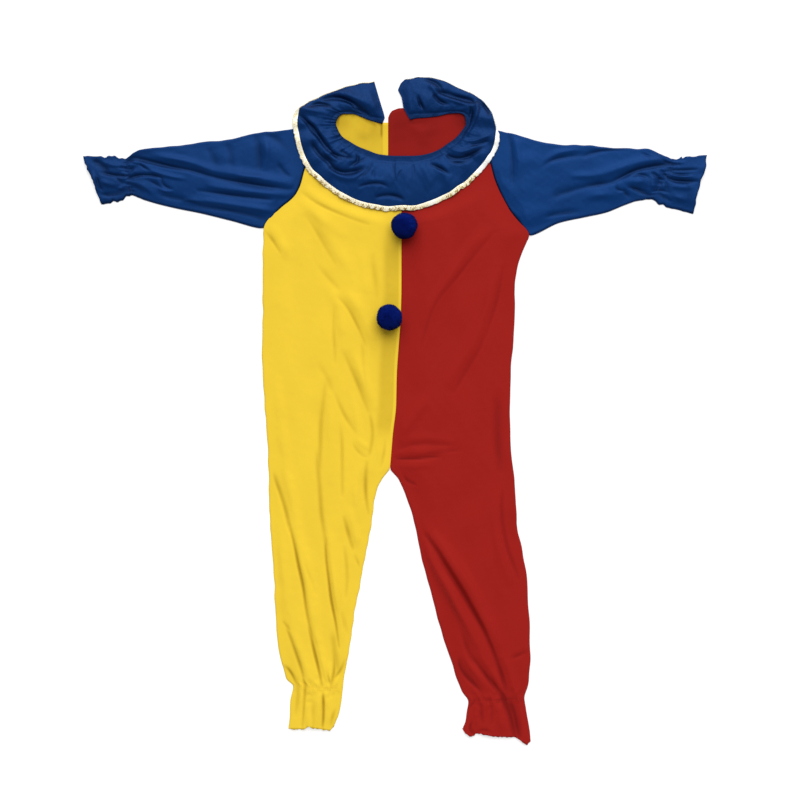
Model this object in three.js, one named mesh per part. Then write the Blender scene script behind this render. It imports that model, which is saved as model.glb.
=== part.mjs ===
import * as THREE from 'three';

// A clown romper laid flat on its back. Sizes are in millimetres, +X points to the red half,
// +Y to the neck and +Z up from the surface that it lies on.

const wall = 1.2; // thickness of the cloth
const gap = 0.3; // clearance at seams and between layers
const seamShift = 0.2; // each of two joined edges stands this far back from their seam
const upperLevel = wall + gap; // underside of the upper layer at its seams
const crown = 0.9; // how far the upper layer swells between its seams
const maxRise = 3.7; // tallest fold over the seam level
const rowStep = 30; // longest step between two rows of a panel
const seamFade = 0.13; // share of a panel's width over which its folds fade at a seam
const swellCurve = 0.6; // how steeply a panel swells from its seams, 1 for a sine
const flatGather = 2.4; // height of the gathers at which no swell and no other fold is left

const foldSteps = 12; // steps along a fold's curve
const foldTip = 0.06; // share of a fold's length that its two tips lack
const foldTaper = 0.6; // how blunt the two ends of a fold are, 1 for a sine

const ankleWaves = 7; // gathers across the front of an ankle
const wristWaves = 7; // gathers across the front of a wrist
const hemWiggle = 2; // how far the gathered hems wander in and out

const sleeveDrop = 0.7; // how soon the upper layer of a sleeve drops from the fold to its seam
const sleeveLowerParts = 2; // steps across the lower layer of a sleeve
const shoulderParts = 4; // steps round the fold at the shoulder

const collarRuffles = 20; // wide waves at the collar's outer edge
const gathersPerRuffle = 3; // small gathers at the neckline for each wide wave
const headerShare = 0.1; // share of the collar's width that the sewn-down header takes
const headerRise = 0.35; // share of the gathers' height that is left at the neckline
const collarEndBulge = 9; // how far the two ends of the collar swell towards each other
const collarEndShare = 0.05; // share of the collar's length that this takes
const collarDrop = { from: 0.4, to: 0.75 }; // where its underside leaves the panels, by width
const collarFoldFade = { inner: 0.2, outer: 0.25 }; // its folds' fade at both edges, by width
const ruffleDrift = 0.006; // how far the waves wander from an even spacing, by length
const ruffleShift = 0.01; // how far a wave leans over from the neckline to the edge
const ruffleUneven = 0.3; // how much the wide waves differ in height

const trimWidth = 7; // width of the braid where it lies open
const trimWall = 1.4; // thickness of the braid
const trimTucked = 0.25; // share of the width that shows where it turns under
const trimOpen = { from: 0.14, to: 0.8, blend: 0.05 }; // the stretch where it lies open

const pompomRadius = 20; // to the tips of the locks
const pompomRoot = 15.5; // radius of the core that the locks grow from
const pompomTip = 0.5; // how far a lock narrows from root to tip
const pompomSeat = upperLevel + wall + 1.5 * gap; // lowest point of a pompom

const paint = {
  yellow: { color: 0xf0cc3d, roughness: 0.62, metalness: 0 },
  red: { color: 0x99221e, roughness: 0.65, metalness: 0 },
  blue: { color: 0x163266, roughness: 0.6, metalness: 0 },
  navy: { color: 0x0a1a58, roughness: 0.9, metalness: 0 },
  braid: { color: 0xf6edc4, roughness: 0.42, metalness: 0.45 },
};

// Turns rows of numbers under named columns into objects.
function table(columns, rows) {
  return rows.map((row) => Object.fromEntries(columns.map((name, place) => [name, row[place]])));
}

// A front half, one row for each section from the neckline to the hem. The outer end follows
// the raglan seam, the side and the outer leg, the inner end the centre seam and the inner leg.
// sag bows a row down, gather is the height of its waves and parts its steps across.
const sectionColumns = ['outerX', 'outerY', 'innerX', 'innerY', 'sag', 'gather', 'parts'];
const yellowSections = table(sectionColumns, [
  [-98, 418, 9, 379, 10, 0, 12], // neckline
  [-125, 388, 9, 356, 9, 0, 12],
  [-135, 366, 9, 338, 7, 0, 14],
  [-142, 341, 9, 320, 5, 0, 16],
  [-149, 325, 9, 308, 3, 0, 16],
  [-173, 304, 9, 293, 1, 0, 18],
  [-198, 275, 9, 275, 0, 0, 18], // armpit
  [-200, 257, 9, 257, 0, 0, 18],
  [-202, 235, 9, 235, 0, 0, 18],
  [-202, 190, 9, 190, 0, 0, 18],
  [-201, 145, 8, 145, 0, 0, 18],
  [-202, 100, 5, 100, 0, 0, 18],
  [-200, 55, 2, 55, 0, 0, 18],
  [-199, 10, 1, 10, 0, 0, 18],
  [-196, -35, -4, -35, 0, 0, 18],
  [-194, -82, -8, -82, 0, 0, 16], // crotch
  [-193, -103, -20, -103, 0, 0, 16],
  [-191, -125, -29, -125, 0, 0, 16],
  [-190, -170, -35, -170, 0, 0, 14],
  [-187, -215, -44, -215, 0, 0, 14],
  [-184, -260, -53, -260, 0, 0, 14],
  [-181, -305, -61, -305, 0, 0, 14],
  [-178, -350, -68, -350, 0, 0.4, 16],
  [-172, -380, -73, -378, 0, 1.2, 24],
  [-165, -400, -77, -398, 0, 1.8, 28],
  [-154, -412, -80, -416, 0, 1.5, 28], // elastic
  [-156, -432, -82, -434, 0, 2.2, 28],
  [-158, -455, -86, -455, 0, 2.5, 28],
  [-160, -476, -93, -473, 0, 2.7, 28], // hem
]);
const redSections = table(sectionColumns, [
  [112, 418, 9, 379, 8, 0, 12], // neckline
  [127, 398, 9, 360, 8, 0, 12],
  [140, 377, 9, 343, 6, 0, 14],
  [149, 347, 9, 323, 4, 0, 16],
  [169, 305, 9, 300, 1, 0, 18],
  [184, 286, 9, 284, 0, 0, 18],
  [200, 264, 9, 268, 0, 0, 18], // armpit
  [196, 254, 9, 255, 0, 0, 18],
  [188, 235, 9, 235, 0, 0, 18],
  [181, 212, 9, 212, 0, 0, 18],
  [179, 190, 9, 190, 0, 0, 18],
  [178, 145, 8, 145, 0, 0, 18],
  [175, 100, 5, 100, 0, 0, 18],
  [172, 55, 2, 55, 0, 0, 18],
  [170, 10, 1, 10, 0, 0, 18],
  [171, -35, -4, -35, 0, 0, 18],
  [175, -82, -8, -82, 0, 0, 16], // crotch
  [178, -103, 5, -103, 0, 0, 16],
  [179, -125, 14, -125, 0, 0, 16],
  [182, -170, 29, -170, 0, 0, 14],
  [190, -215, 38, -215, 0, 0, 14],
  [197, -260, 50, -260, 0, 0, 14],
  [199, -305, 62, -305, 0, 0, 14],
  [202, -350, 74, -350, 0, 0.3, 16],
  [202, -373, 82, -373, 0, 0.8, 16],
  [200, -395, 91, -397, 0, 1.4, 24],
  [197, -414, 100, -419, 0, 1.8, 28],
  [193, -430, 110, -435, 0, 1.5, 28], // elastic
  [195, -445, 108, -449, 0, 2.1, 28],
  [199, -466, 105, -466, 0, 2.5, 28],
  [202, -497, 101, -480, 0, 2.7, 28], // hem
]);

// The back neckline of each half, from the centre back seam to the end of the sleeve.
const backNeck = {
  yellow: [[-11, 427], [-19, 431], [-35, 443], [-56, 454], [-76, 454]],
  red: [[-11, 439], [-7, 450], [10, 455], [29, 451], [52, 454], [79, 457], [100, 455]],
};

// A sleeve, one row for each section from the wrist hem to the neckline. The fold end is at the
// shoulder, the seam end follows the underarm and then the raglan seam. hollow is the space
// inside the fold and gather the height of the waves.
const sleeveColumns = ['foldX', 'foldY', 'seamX', 'seamY', 'hollow', 'gather', 'parts'];
const leftSleeve = table(sleeveColumns, [
  [-467, 383, -442, 311, 2.6, 2.7, 28], // hem
  [-448, 382, -433, 312, 2.6, 2.5, 28],
  [-425, 382, -413, 317, 2.0, 2.2, 28],
  [-407, 379, -397, 325, 1.2, 1.5, 28], // elastic
  [-386, 391, -380, 319, 2.4, 1.7, 28],
  [-365, 395, -361, 313, 3.2, 0.9, 16],
  [-331, 398, -328, 305, 3.4, 0.2, 10],
  [-293, 403, -293, 298, 3.4, 0, 10],
  [-248, 410, -248, 287, 3.4, 0, 10],
  [-200, 418, -198, 275, 3.0, 0, 10], // armpit
  [-173, 421, -173, 304, 1.6, 0, 10],
  [-145, 425, -149, 325, 0.3, 0, 8],
  [-131, 427, -142, 341, 0.3, 0, 8],
  [-118, 430, -135, 366, 0.3, 0, 6],
  [-104, 436, -125, 388, 0.3, 0, 6],
  [-92, 443, -98, 418, 0.3, 0, 4], // neckline
]);
const rightSleeve = table(sleeveColumns, [
  [468, 384, 446, 297, 2.6, 2.7, 28], // hem
  [451, 383, 427, 302, 2.6, 2.5, 28],
  [433, 382, 404, 308, 2.0, 2.2, 28],
  [419, 378, 383, 319, 1.2, 1.5, 28], // elastic
  [398, 386, 362, 316, 2.4, 1.7, 28],
  [379, 394, 344, 310, 3.2, 0.9, 16],
  [340, 394, 316, 299, 3.4, 0.2, 10],
  [292, 400, 284, 292, 3.4, 0, 10],
  [247, 402, 247, 284, 3.4, 0, 10],
  [202, 409, 200, 264, 3.0, 0, 10], // armpit
  [182, 415, 184, 286, 1.6, 0, 10],
  [164, 419, 169, 305, 0.3, 0, 8],
  [146, 424, 149, 347, 0.3, 0, 8],
  [133, 430, 140, 377, 0.3, 0, 6],
  [122, 436, 127, 398, 0.3, 0, 6],
  [110, 445, 112, 418, 0.3, 0, 4], // neckline
]);

// The collar, one row for each section from one end at the centre back round to the other.
// innerZ and outerZ are the levels of its underside, gather the height of the small gathers at
// the neckline and ruffle that of the wide waves at the outer edge.
const collarColumns = [
  'innerX', 'innerY', 'outerX', 'outerY', 'innerZ', 'outerZ', 'gather', 'ruffle',
];
const collarSections = table(collarColumns, [
  [-22, 431, -31, 494, 1.8, 0.3, 0.6, 1.5],
  [-35, 435, -56, 491, 1.8, 0.3, 0.8, 2.5],
  [-50, 441, -82, 484, 1.8, 0.3, 0.9, 3.5],
  [-65, 446, -110, 473, 2.2, 0.8, 1.4, 4.5],
  [-77, 446, -131, 463, 3.0, 2.0, 2.0, 5],
  [-86, 440, -145, 451, 3.0, 3.0, 2.0, 5.5],
  [-89, 431, -148, 431, 3.0, 3.0, 2.0, 5],
  [-86, 422, -145, 413, 3.0, 3.0, 2.0, 4.5],
  [-80, 412, -139, 389, 3.0, 3.0, 1.9, 4],
  [-68, 404, -127, 365, 3.0, 3.0, 1.8, 4],
  [-56, 397, -107, 346, 3.0, 3.0, 1.6, 3.5],
  [-41, 391, -80, 326, 3.0, 3.0, 1.4, 3],
  [-23, 385, -50, 313, 3.0, 3.0, 1.2, 2.5],
  [1, 383, -16, 307, 3.0, 3.0, 1.2, 2.5],
  [22, 383, 22, 307, 3.0, 3.0, 1.2, 2],
  [38, 384, 49, 313, 3.0, 3.0, 1.2, 2.5],
  [53, 391, 76, 325, 3.0, 3.0, 1.4, 2.5],
  [67, 395, 100, 340, 3.0, 3.0, 1.4, 3],
  [77, 404, 121, 359, 3.0, 3.0, 1.6, 3.5],
  [89, 409, 137, 379, 3.0, 3.0, 1.4, 4.5],
  [98, 419, 148, 398, 3.0, 3.0, 1.2, 5],
  [105, 431, 151, 419, 3.0, 3.0, 1.2, 5],
  [103, 443, 146, 443, 3.0, 3.0, 1.2, 5],
  [94, 447, 133, 463, 3.0, 2.0, 1.2, 5],
  [79, 446, 115, 476, 2.2, 0.8, 1.0, 4.5],
  [61, 442, 89, 488, 1.8, 0.3, 0.9, 4],
  [44, 440, 62, 499, 1.8, 0.3, 0.8, 3.5],
  [31, 439, 37, 501, 1.8, 0.3, 0.8, 3],
  [22, 437, 13, 498, 1.8, 0.3, 0.6, 2],
]);

// Rings of the collar from the neckline out: reach is the share of the width, points the count.
const collarRings = table(['reach', 'points'], [
  [0, 120],
  [0.1, 180],
  [0.26, 180],
  [0.6, 120],
  [1, 100],
]);

// Folds as ridges on a curve through three points, with their height and half width.
const foldColumns = ['startX', 'startY', 'midX', 'midY', 'endX', 'endY', 'rise', 'half'];
const yellowFolds = table(foldColumns, [
  [-150, 326, -98, 305, -40, 275, 2.4, 11], // from the raglan seam to the centre
  [-152, 304, -118, 268, -88, 222, 2.2, 11],
  [-126, 244, -90, 180, -40, 74, 2.8, 12], // long diagonal to the hip
  [-194, 268, -182, 248, -168, 222, 2.2, 9], // armpit
  [-80, 88, -50, 20, -32, -42, 2.4, 10],
  [-104, 62, -116, -60, -112, -150, 2.4, 11], // hip to knee
  [-112, -140, -102, -240, -82, -352, 2.8, 10],
  [-182, -95, -142, -250, -108, -408, 2.9, 10], // long crease of the leg
  [-82, -55, -76, -140, -60, -220, 2.2, 10],
  [-40, -78, -38, -130, -48, -188, 2.2, 9],
]);
const redFolds = table(foldColumns, [
  [144, 258, 72, 178, 40, 108, 2.4, 12],
  [170, 218, 132, 112, 88, 28, 2.6, 12],
  [56, 20, 32, -14, 8, -50, 2.0, 10],
  [0, -72, 42, -60, 88, -56, 2.2, 9], // across the crotch
  [156, -120, 166, -186, 176, -240, 2.2, 11],
  [44, -185, 112, -292, 166, -424, 2.9, 11], // long crease of the leg
  [98, -305, 120, -366, 150, -416, 2.4, 9],
]);
const leftSleeveFolds = table(foldColumns, [
  [-368, 382, -290, 362, -160, 338, 2.6, 10],
  [-290, 342, -230, 330, -160, 324, 2.2, 8],
  [-322, 318, -240, 306, -186, 299, 2.0, 8],
]);
const rightSleeveFolds = table(foldColumns, [
  [400, 372, 330, 344, 230, 318, 2.8, 10],
  [350, 392, 290, 388, 224, 368, 2.2, 9],
  [280, 300, 250, 297, 224, 294, 1.8, 8],
]);
const collarFolds = table(foldColumns, [
  [-142, 446, -112, 408, -86, 384, 4.2, 8], // deep crease at the side
  [-128, 378, -98, 358, -60, 358, 3.4, 8],
  [-114, 470, -74, 466, -40, 440, 3.4, 8],
  [-50, 338, -34, 332, -20, 322, 2.6, 8],
  [92, 392, 118, 384, 140, 396, 3.6, 9],
  [128, 460, 104, 458, 84, 462, 3.0, 7],
]);

// The oval that the collar and its trim cover, and how fast the folds below come up outside it.
const collarOval = { x: -2, y: 415, halfX: 162, halfY: 120, fadeFrom: 1.02, fadeTo: 1.35 };

const clamp01 = (value) => Math.min(1, Math.max(0, value));
const mix = (a, b, t) => a + (b - a) * t;
const smooth = (t) => t * t * (3 - 2 * t);

// How open a place is, from 0 under the collar to 1 clear of it.
function clearOfCollar(x, y) {
  const across = (x - collarOval.x) / collarOval.halfX;
  const along = (y - collarOval.y) / collarOval.halfY;
  const reach = Math.hypot(across, along);
  return smooth(clamp01((reach - collarOval.fadeFrom) / (collarOval.fadeTo - collarOval.fadeFrom)));
}

// Height that the folds of a list give at a place. Each fold tapers to its two ends.
function foldHeight(folds, x, y) {
  let height = 0;
  for (const fold of folds) {
    const controlX = 2 * fold.midX - (fold.startX + fold.endX) / 2;
    const controlY = 2 * fold.midY - (fold.startY + fold.endY) / 2;
    let nearest = Infinity;
    let taper = 0;
    for (let step = 0; step <= foldSteps; step += 1) {
      const t = step / foldSteps;
      const curveX = mix(mix(fold.startX, controlX, t), mix(controlX, fold.endX, t), t);
      const curveY = mix(mix(fold.startY, controlY, t), mix(controlY, fold.endY, t), t);
      const distance = Math.hypot(x - curveX, y - curveY);
      if (distance < nearest) {
        nearest = distance;
        taper = Math.sin(Math.PI * mix(foldTip, 1 - foldTip, t)) ** foldTaper;
      }
    }
    height += fold.rise * taper * Math.exp(-((nearest / fold.half) ** 2));
  }
  return height;
}

// How far a place is from both edges of a panel: 0 at an edge, 1 past the fade.
function edgeFade(u) {
  return smooth(clamp01(Math.min(u, 1 - u) / seamFade));
}

// A wave that is 0 at both ends of its run and 1 on its crests.
function wave(place, count) {
  return 0.5 - 0.5 * Math.cos(2 * Math.PI * count * place);
}

// Adds rows between the given ones, so that no step is longer than rowStep.
function densify(sections, stepOf) {
  const rows = [];
  for (let i = 0; i < sections.length - 1; i += 1) {
    const here = sections[i];
    const next = sections[i + 1];
    const count = Math.max(1, Math.ceil(stepOf(here, next) / rowStep));
    for (let k = 0; k < count; k += 1) {
      const row = {};
      for (const name of Object.keys(here)) row[name] = mix(here[name], next[name], k / count);
      row.parts = here.parts;
      rows.push(row);
    }
  }
  rows.push(sections[sections.length - 1]);
  return rows;
}

// Triangles between two neighbouring rows, as [row, place] corners. Where both rows could step,
// the cut runs between the two corners that are nearer in height, so that it follows a fold.
function stitch(rows, first) {
  const a = rows[first];
  const b = rows[first + 1];
  const triangles = [];
  let i = 0;
  let j = 0;
  while (i < a.length - 1 || j < b.length - 1) {
    const nextA = (i + 1) / (a.length - 1);
    const nextB = (j + 1) / (b.length - 1);
    let stepA = nextA < nextB;
    if (i === a.length - 1) stepA = false;
    else if (j === b.length - 1) stepA = true;
    else if (Math.abs(nextA - nextB) < 1e-9) {
      stepA = Math.abs(a[i + 1].z - b[j].z) < Math.abs(a[i].z - b[j + 1].z);
    }
    if (stepA) {
      triangles.push([[first, i], [first, i + 1], [first + 1, j]]);
      i += 1;
    } else {
      triangles.push([[first, i], [first + 1, j + 1], [first + 1, j]]);
      j += 1;
    }
  }
  return triangles;
}

// Closes a wall between two faces given as rows of points, with the same count in each row.
function shellGeometry(innerRows, outerRows) {
  const starts = [];
  const positions = [];
  let total = 0;
  for (const row of innerRows) {
    starts.push(total);
    total += row.length;
  }
  for (const rows of [innerRows, outerRows]) {
    for (const row of rows) for (const point of row) positions.push(point.x, point.y, point.z);
  }
  const inner = ([row, place]) => starts[row] + place;
  const outer = (corner) => total + inner(corner);
  const index = [];
  const side = (from, to) => {
    index.push(inner(to), inner(from), outer(from), inner(to), outer(from), outer(to));
  };
  const last = innerRows.length - 1;
  for (let row = 0; row < last; row += 1) {
    for (const [a, b, c] of stitch(innerRows, row)) {
      index.push(inner(a), inner(b), inner(c), outer(a), outer(c), outer(b));
    }
    side([row + 1, 0], [row, 0]);
    side([row, innerRows[row].length - 1], [row + 1, innerRows[row + 1].length - 1]);
  }
  for (let place = 0; place < innerRows[0].length - 1; place += 1) side([0, place], [0, place + 1]);
  for (let place = 0; place < innerRows[last].length - 1; place += 1) {
    side([last, place + 1], [last, place]);
  }
  return closedGeometry(positions, index);
}

// Makes the geometry and turns its faces out.
function closedGeometry(positions, index) {
  const corner = (place) => new THREE.Vector3().fromArray(positions, 3 * index[place]);
  let volume = 0;
  for (let i = 0; i < index.length; i += 3) {
    volume += corner(i).dot(corner(i + 1).cross(corner(i + 2)));
  }
  if (volume < 0) {
    for (let i = 0; i < index.length; i += 3) [index[i], index[i + 1]] = [index[i + 1], index[i]];
  }
  const geometry = new THREE.BufferGeometry();
  geometry.setAttribute('position', new THREE.Float32BufferAttribute(positions, 3));
  geometry.setIndex(index);
  geometry.computeVertexNormals();
  return geometry;
}

// Moves the points of a lying face out by a thickness, straight up at its border.
function raisedRows(rows, thickness) {
  const normals = rows.map((row) => row.map(() => new THREE.Vector3()));
  for (let row = 0; row < rows.length - 1; row += 1) {
    for (const corners of stitch(rows, row)) {
      const [a, b, c] = corners.map(([r, place]) => rows[r][place]);
      const normal = b.clone().sub(a).cross(c.clone().sub(a));
      if (normal.z < 0) normal.negate();
      for (const [r, place] of corners) normals[r][place].add(normal);
    }
  }
  return rows.map((row, r) => row.map((point, place) => {
    const border = r === 0 || r === rows.length - 1 || place === 0 || place === row.length - 1;
    const normal = border ? new THREE.Vector3(0, 0, 1) : normals[r][place].normalize();
    return point.clone().addScaledVector(normal, thickness);
  }));
}

function clothMesh(name, geometry, look) {
  const mesh = new THREE.Mesh(geometry, new THREE.MeshStandardMaterial({ ...look }));
  mesh.name = name;
  return mesh;
}

// The upper layer of one half. side is -1 for the yellow half and 1 for the red one.
function frontHalf(name, sections, folds, side, look) {
  const distance = (a, b) => Math.max(Math.abs(a.outerY - b.outerY), Math.abs(a.innerY - b.innerY));
  const sectionRows = densify(sections, distance);
  const rows = sectionRows.map((section, r) => {
    const hem = r === sectionRows.length - 1;
    const row = [];
    for (let k = 0; k <= section.parts; k += 1) {
      const u = k / section.parts;
      const x = mix(section.outerX - side * seamShift, section.innerX + side * seamShift, u);
      const waves = wave(u, ankleWaves);
      let y = mix(section.outerY, section.innerY, u) - 4 * section.sag * u * (1 - u);
      if (hem) y -= hemWiggle * waves;
      const swell = crown * Math.sin(Math.PI * u) ** swellCurve;
      const slack = clearOfCollar(x, y) * clamp01(1 - section.gather / flatGather);
      const raised = slack * (swell + edgeFade(u) * foldHeight(folds, x, y));
      const rise = Math.min(maxRise, raised + section.gather * waves);
      row.push(new THREE.Vector3(x, y, upperLevel + rise));
    }
    return row;
  });
  return clothMesh(name, shellGeometry(rows, raisedRows(rows, wall)), look);
}

// The lower layer of one half, flat on the surface, with the outline of its front.
function backHalf(name, sections, sleeve, neck, side, look) {
  const outer = sections.map((row) => [row.outerX - side * seamShift, row.outerY]);
  const crotch = sections.findIndex((row) => row.innerY < -80);
  const inner = sections.slice(crotch).map((row) => [row.innerX + side * seamShift, row.innerY]);
  const sleeveEnd = sleeve[sleeve.length - 1];
  const neckline = neck.map(([x, y], place) => [x + (place === 0 ? side * seamShift : 0), y]);
  const outline = [
    ...neckline,
    [sleeveEnd.foldX - side * seamShift, sleeveEnd.foldY],
    ...outer,
    ...inner.reverse(),
  ];
  const shape = new THREE.Shape(outline.map(([x, y]) => new THREE.Vector2(x, y)));
  const geometry = new THREE.ExtrudeGeometry(shape, { depth: wall, bevelEnabled: false, steps: 1 });
  return clothMesh(name, geometry, look);
}

// One section of a sleeve: the lower layer from the seam to the fold, round the fold, and the
// upper layer back to the seam, as points on the inside and on the outside of the cloth.
function sleeveSection(section, folds, side, hem) {
  const fold = new THREE.Vector2(section.foldX, section.foldY);
  const seam = new THREE.Vector2(section.seamX + side * seamShift, section.seamY);
  const length = fold.distanceTo(seam);
  const along = seam.clone().sub(fold).divideScalar(length);
  const out = new THREE.Vector2(-along.y, along.x).multiplyScalar(-side);
  const radius = section.hollow / 2;
  const bend = radius + wall; // distance from the edge to the middle of the fold's round
  const inner = [];
  const outer = [];
  const place = (list, s, z, push = 0) => {
    const x = fold.x + along.x * s + out.x * push;
    const y = fold.y + along.y * s + out.y * push;
    list.push(new THREE.Vector3(x, y, z));
  };
  for (let k = 0; k < sleeveLowerParts; k += 1) {
    const s = mix(length, bend, k / sleeveLowerParts);
    place(inner, s, wall);
    place(outer, s, 0);
  }
  for (let k = 0; k < shoulderParts; k += 1) {
    const angle = (Math.PI * k) / shoulderParts;
    place(inner, bend - radius * Math.sin(angle), bend - radius * Math.cos(angle));
    place(outer, bend - bend * Math.sin(angle), bend - bend * Math.cos(angle));
  }
  const upper = [];
  for (let k = 0; k <= section.parts; k += 1) {
    const w = k / section.parts;
    const s = mix(bend, length, w);
    const x = fold.x + along.x * s;
    const y = fold.y + along.y * s;
    const level = mix(wall + section.hollow, upperLevel, w ** sleeveDrop);
    const raised = edgeFade(w) * clearOfCollar(x, y) * foldHeight(folds, x, y);
    const waves = section.gather * wave(w, wristWaves);
    const z = Math.min(upperLevel + maxRise, level + raised + waves);
    upper.push({ s, z, push: hem ? hemWiggle * wave(w, wristWaves) : 0 });
  }
  upper.forEach((point, k) => {
    const before = upper[Math.max(0, k - 1)];
    const after = upper[Math.min(upper.length - 1, k + 1)];
    const border = k === 0 || k === upper.length - 1;
    const slope = border ? 0 : Math.atan2(after.z - before.z, after.s - before.s);
    place(inner, point.s, point.z, point.push);
    place(outer, point.s - wall * Math.sin(slope), point.z + wall * Math.cos(slope), point.push);
  });
  return { inner, outer };
}

function sleeve(name, sections, folds, side, look) {
  const distance = (a, b) => Math.max(Math.abs(a.foldX - b.foldX), Math.abs(a.seamX - b.seamX));
  const rows = densify(sections, distance).map((section, r) => (
    sleeveSection(section, folds, side, r === 0)
  ));
  const geometry = shellGeometry(rows.map((row) => row.inner), rows.map((row) => row.outer));
  return clothMesh(name, geometry, look);
}

// Smooth curves through the inner and the outer ends of the collar's sections.
const collarInner = new THREE.CatmullRomCurve3(
  collarSections.map((row) => new THREE.Vector3(row.innerX, row.innerY, row.innerZ)),
);
const collarOuter = new THREE.CatmullRomCurve3(
  collarSections.map((row) => new THREE.Vector3(row.outerX, row.outerY, row.outerZ)),
);
const collarWaves = new THREE.CatmullRomCurve3(
  collarSections.map((row, place) => new THREE.Vector3(place, row.gather, row.ruffle)),
);

// A point on the underside of the collar, along it from end to end and out from the neckline.
function collarPoint(along, reach) {
  const inner = collarInner.getPoint(along);
  const outer = collarOuter.getPoint(along);
  const heights = collarWaves.getPoint(along);
  const nearStart = clamp01(1 - along / collarEndShare);
  const nearEnd = clamp01(1 - (1 - along) / collarEndShare);
  const bulge = collarEndBulge * (nearStart - nearEnd) * Math.sin(Math.PI * reach);
  const x = mix(inner.x, outer.x, reach) + bulge;
  const y = mix(inner.y, outer.y, reach);
  const drop = (reach - collarDrop.from) / (collarDrop.to - collarDrop.from);
  const level = mix(inner.z, outer.z, smooth(clamp01(drop)));
  const place = along + ruffleDrift * (Math.sin(28 * along) + Math.sin(23 * along + 1));
  const small = wave(place, collarRuffles * gathersPerRuffle) * heights.y;
  const wide = wave(place + ruffleShift * reach, collarRuffles) * heights.z;
  const pastHeader = (reach - headerShare) / (1 - headerShare);
  const smallShare = pastHeader < 0
    ? mix(headerRise, 1, reach / headerShare)
    : (1 - pastHeader) ** 2;
  const uneven = 1 - ruffleUneven * (1 - Math.sin(41 * along + 1));
  const rise = small * smallShare + wide * uneven * smooth(reach);
  const fade = smooth(clamp01(reach / collarFoldFade.inner))
    * smooth(clamp01((1 - reach) / collarFoldFade.outer));
  return new THREE.Vector3(x, y, level + rise + fade * foldHeight(collarFolds, x, y));
}

function collar() {
  const rows = collarRings.map(({ reach, points }) => {
    const row = [];
    for (let k = 0; k <= points; k += 1) row.push(collarPoint(k / points, reach));
    return row;
  });
  return clothMesh('collar', shellGeometry(rows, raisedRows(rows, wall)), paint.blue);
}

// How much of the braid shows: all of it round the front, a narrow edge where it turns under.
function trimShare(along) {
  const first = smooth(clamp01((along - trimOpen.from) / trimOpen.blend));
  const last = smooth(clamp01((trimOpen.to - along) / trimOpen.blend));
  return mix(trimTucked, 1, first * last);
}

// The braid is a flat strip that starts at the collar's outer edge, moved out by the gap.
function collarTrim() {
  const steps = collarRings[collarRings.length - 1].points;
  const lower = [];
  for (let k = 0; k <= steps; k += 1) {
    const along = k / steps;
    const edge = collarPoint(along, 1);
    const out = edge.clone().sub(collarPoint(along, 0)).setZ(0).normalize();
    const width = trimWidth * trimShare(along);
    const near = edge.clone().addScaledVector(out, gap);
    const far = edge.clone().addScaledVector(out, gap + width);
    lower.push([near, far]);
  }
  const upper = lower.map((row) => row.map((point) => point.clone().setZ(point.z + trimWall)));
  return clothMesh('collar_trim', shellGeometry(lower, upper), paint.braid);
}

// A pompom: a round core with one blunt three-sided lock on each of its 80 faces.
function pompom(name, x, y) {
  const core = new THREE.IcosahedronGeometry(1, 1).getAttribute('position');
  const corner = (place) => new THREE.Vector3().fromBufferAttribute(core, place).normalize();
  const down = corner(0).add(corner(1)).add(corner(2)).normalize();
  const turn = new THREE.Quaternion().setFromUnitVectors(down, new THREE.Vector3(0, 0, -1));
  const positions = [];
  const triangle = (...points) => points.forEach((point) => positions.push(...point.toArray()));
  for (let face = 0; face < core.count; face += 3) {
    const corners = [0, 1, 2].map((k) => corner(face + k).applyQuaternion(turn));
    const middle = corners[0].clone().add(corners[1]).add(corners[2]).normalize();
    const roots = corners.map((point) => point.clone().multiplyScalar(pompomRoot));
    const tips = corners.map((point) => (
      point.clone().lerp(middle, pompomTip).normalize().multiplyScalar(pompomRadius)
    ));
    for (let k = 0; k < 3; k += 1) {
      const next = (k + 1) % 3;
      triangle(roots[k], roots[next], tips[next]);
      triangle(roots[k], tips[next], tips[k]);
    }
    triangle(tips[0], tips[1], tips[2]);
  }
  const geometry = new THREE.BufferGeometry();
  geometry.setAttribute('position', new THREE.Float32BufferAttribute(positions, 3));
  geometry.computeVertexNormals();
  geometry.computeBoundingBox();
  const mesh = clothMesh(name, geometry, paint.navy);
  mesh.position.set(x, y, pompomSeat - geometry.boundingBox.min.z);
  return mesh;
}

const romper = new THREE.Group();
romper.add(
  backHalf('back_yellow', yellowSections, leftSleeve, backNeck.yellow, -1, paint.yellow),
  backHalf('back_red', redSections, rightSleeve, backNeck.red, 1, paint.red),
  frontHalf('front_yellow', yellowSections, yellowFolds, -1, paint.yellow),
  frontHalf('front_red', redSections, redFolds, 1, paint.red),
  sleeve('sleeve_left', leftSleeve, leftSleeveFolds, -1, paint.blue),
  sleeve('sleeve_right', rightSleeve, rightSleeveFolds, 1, paint.blue),
  collar(),
  collarTrim(),
  pompom('pompom_top', 13, 276),
  pompom('pompom_bottom', -9, 140),
);

export default romper;
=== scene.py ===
import math

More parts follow.
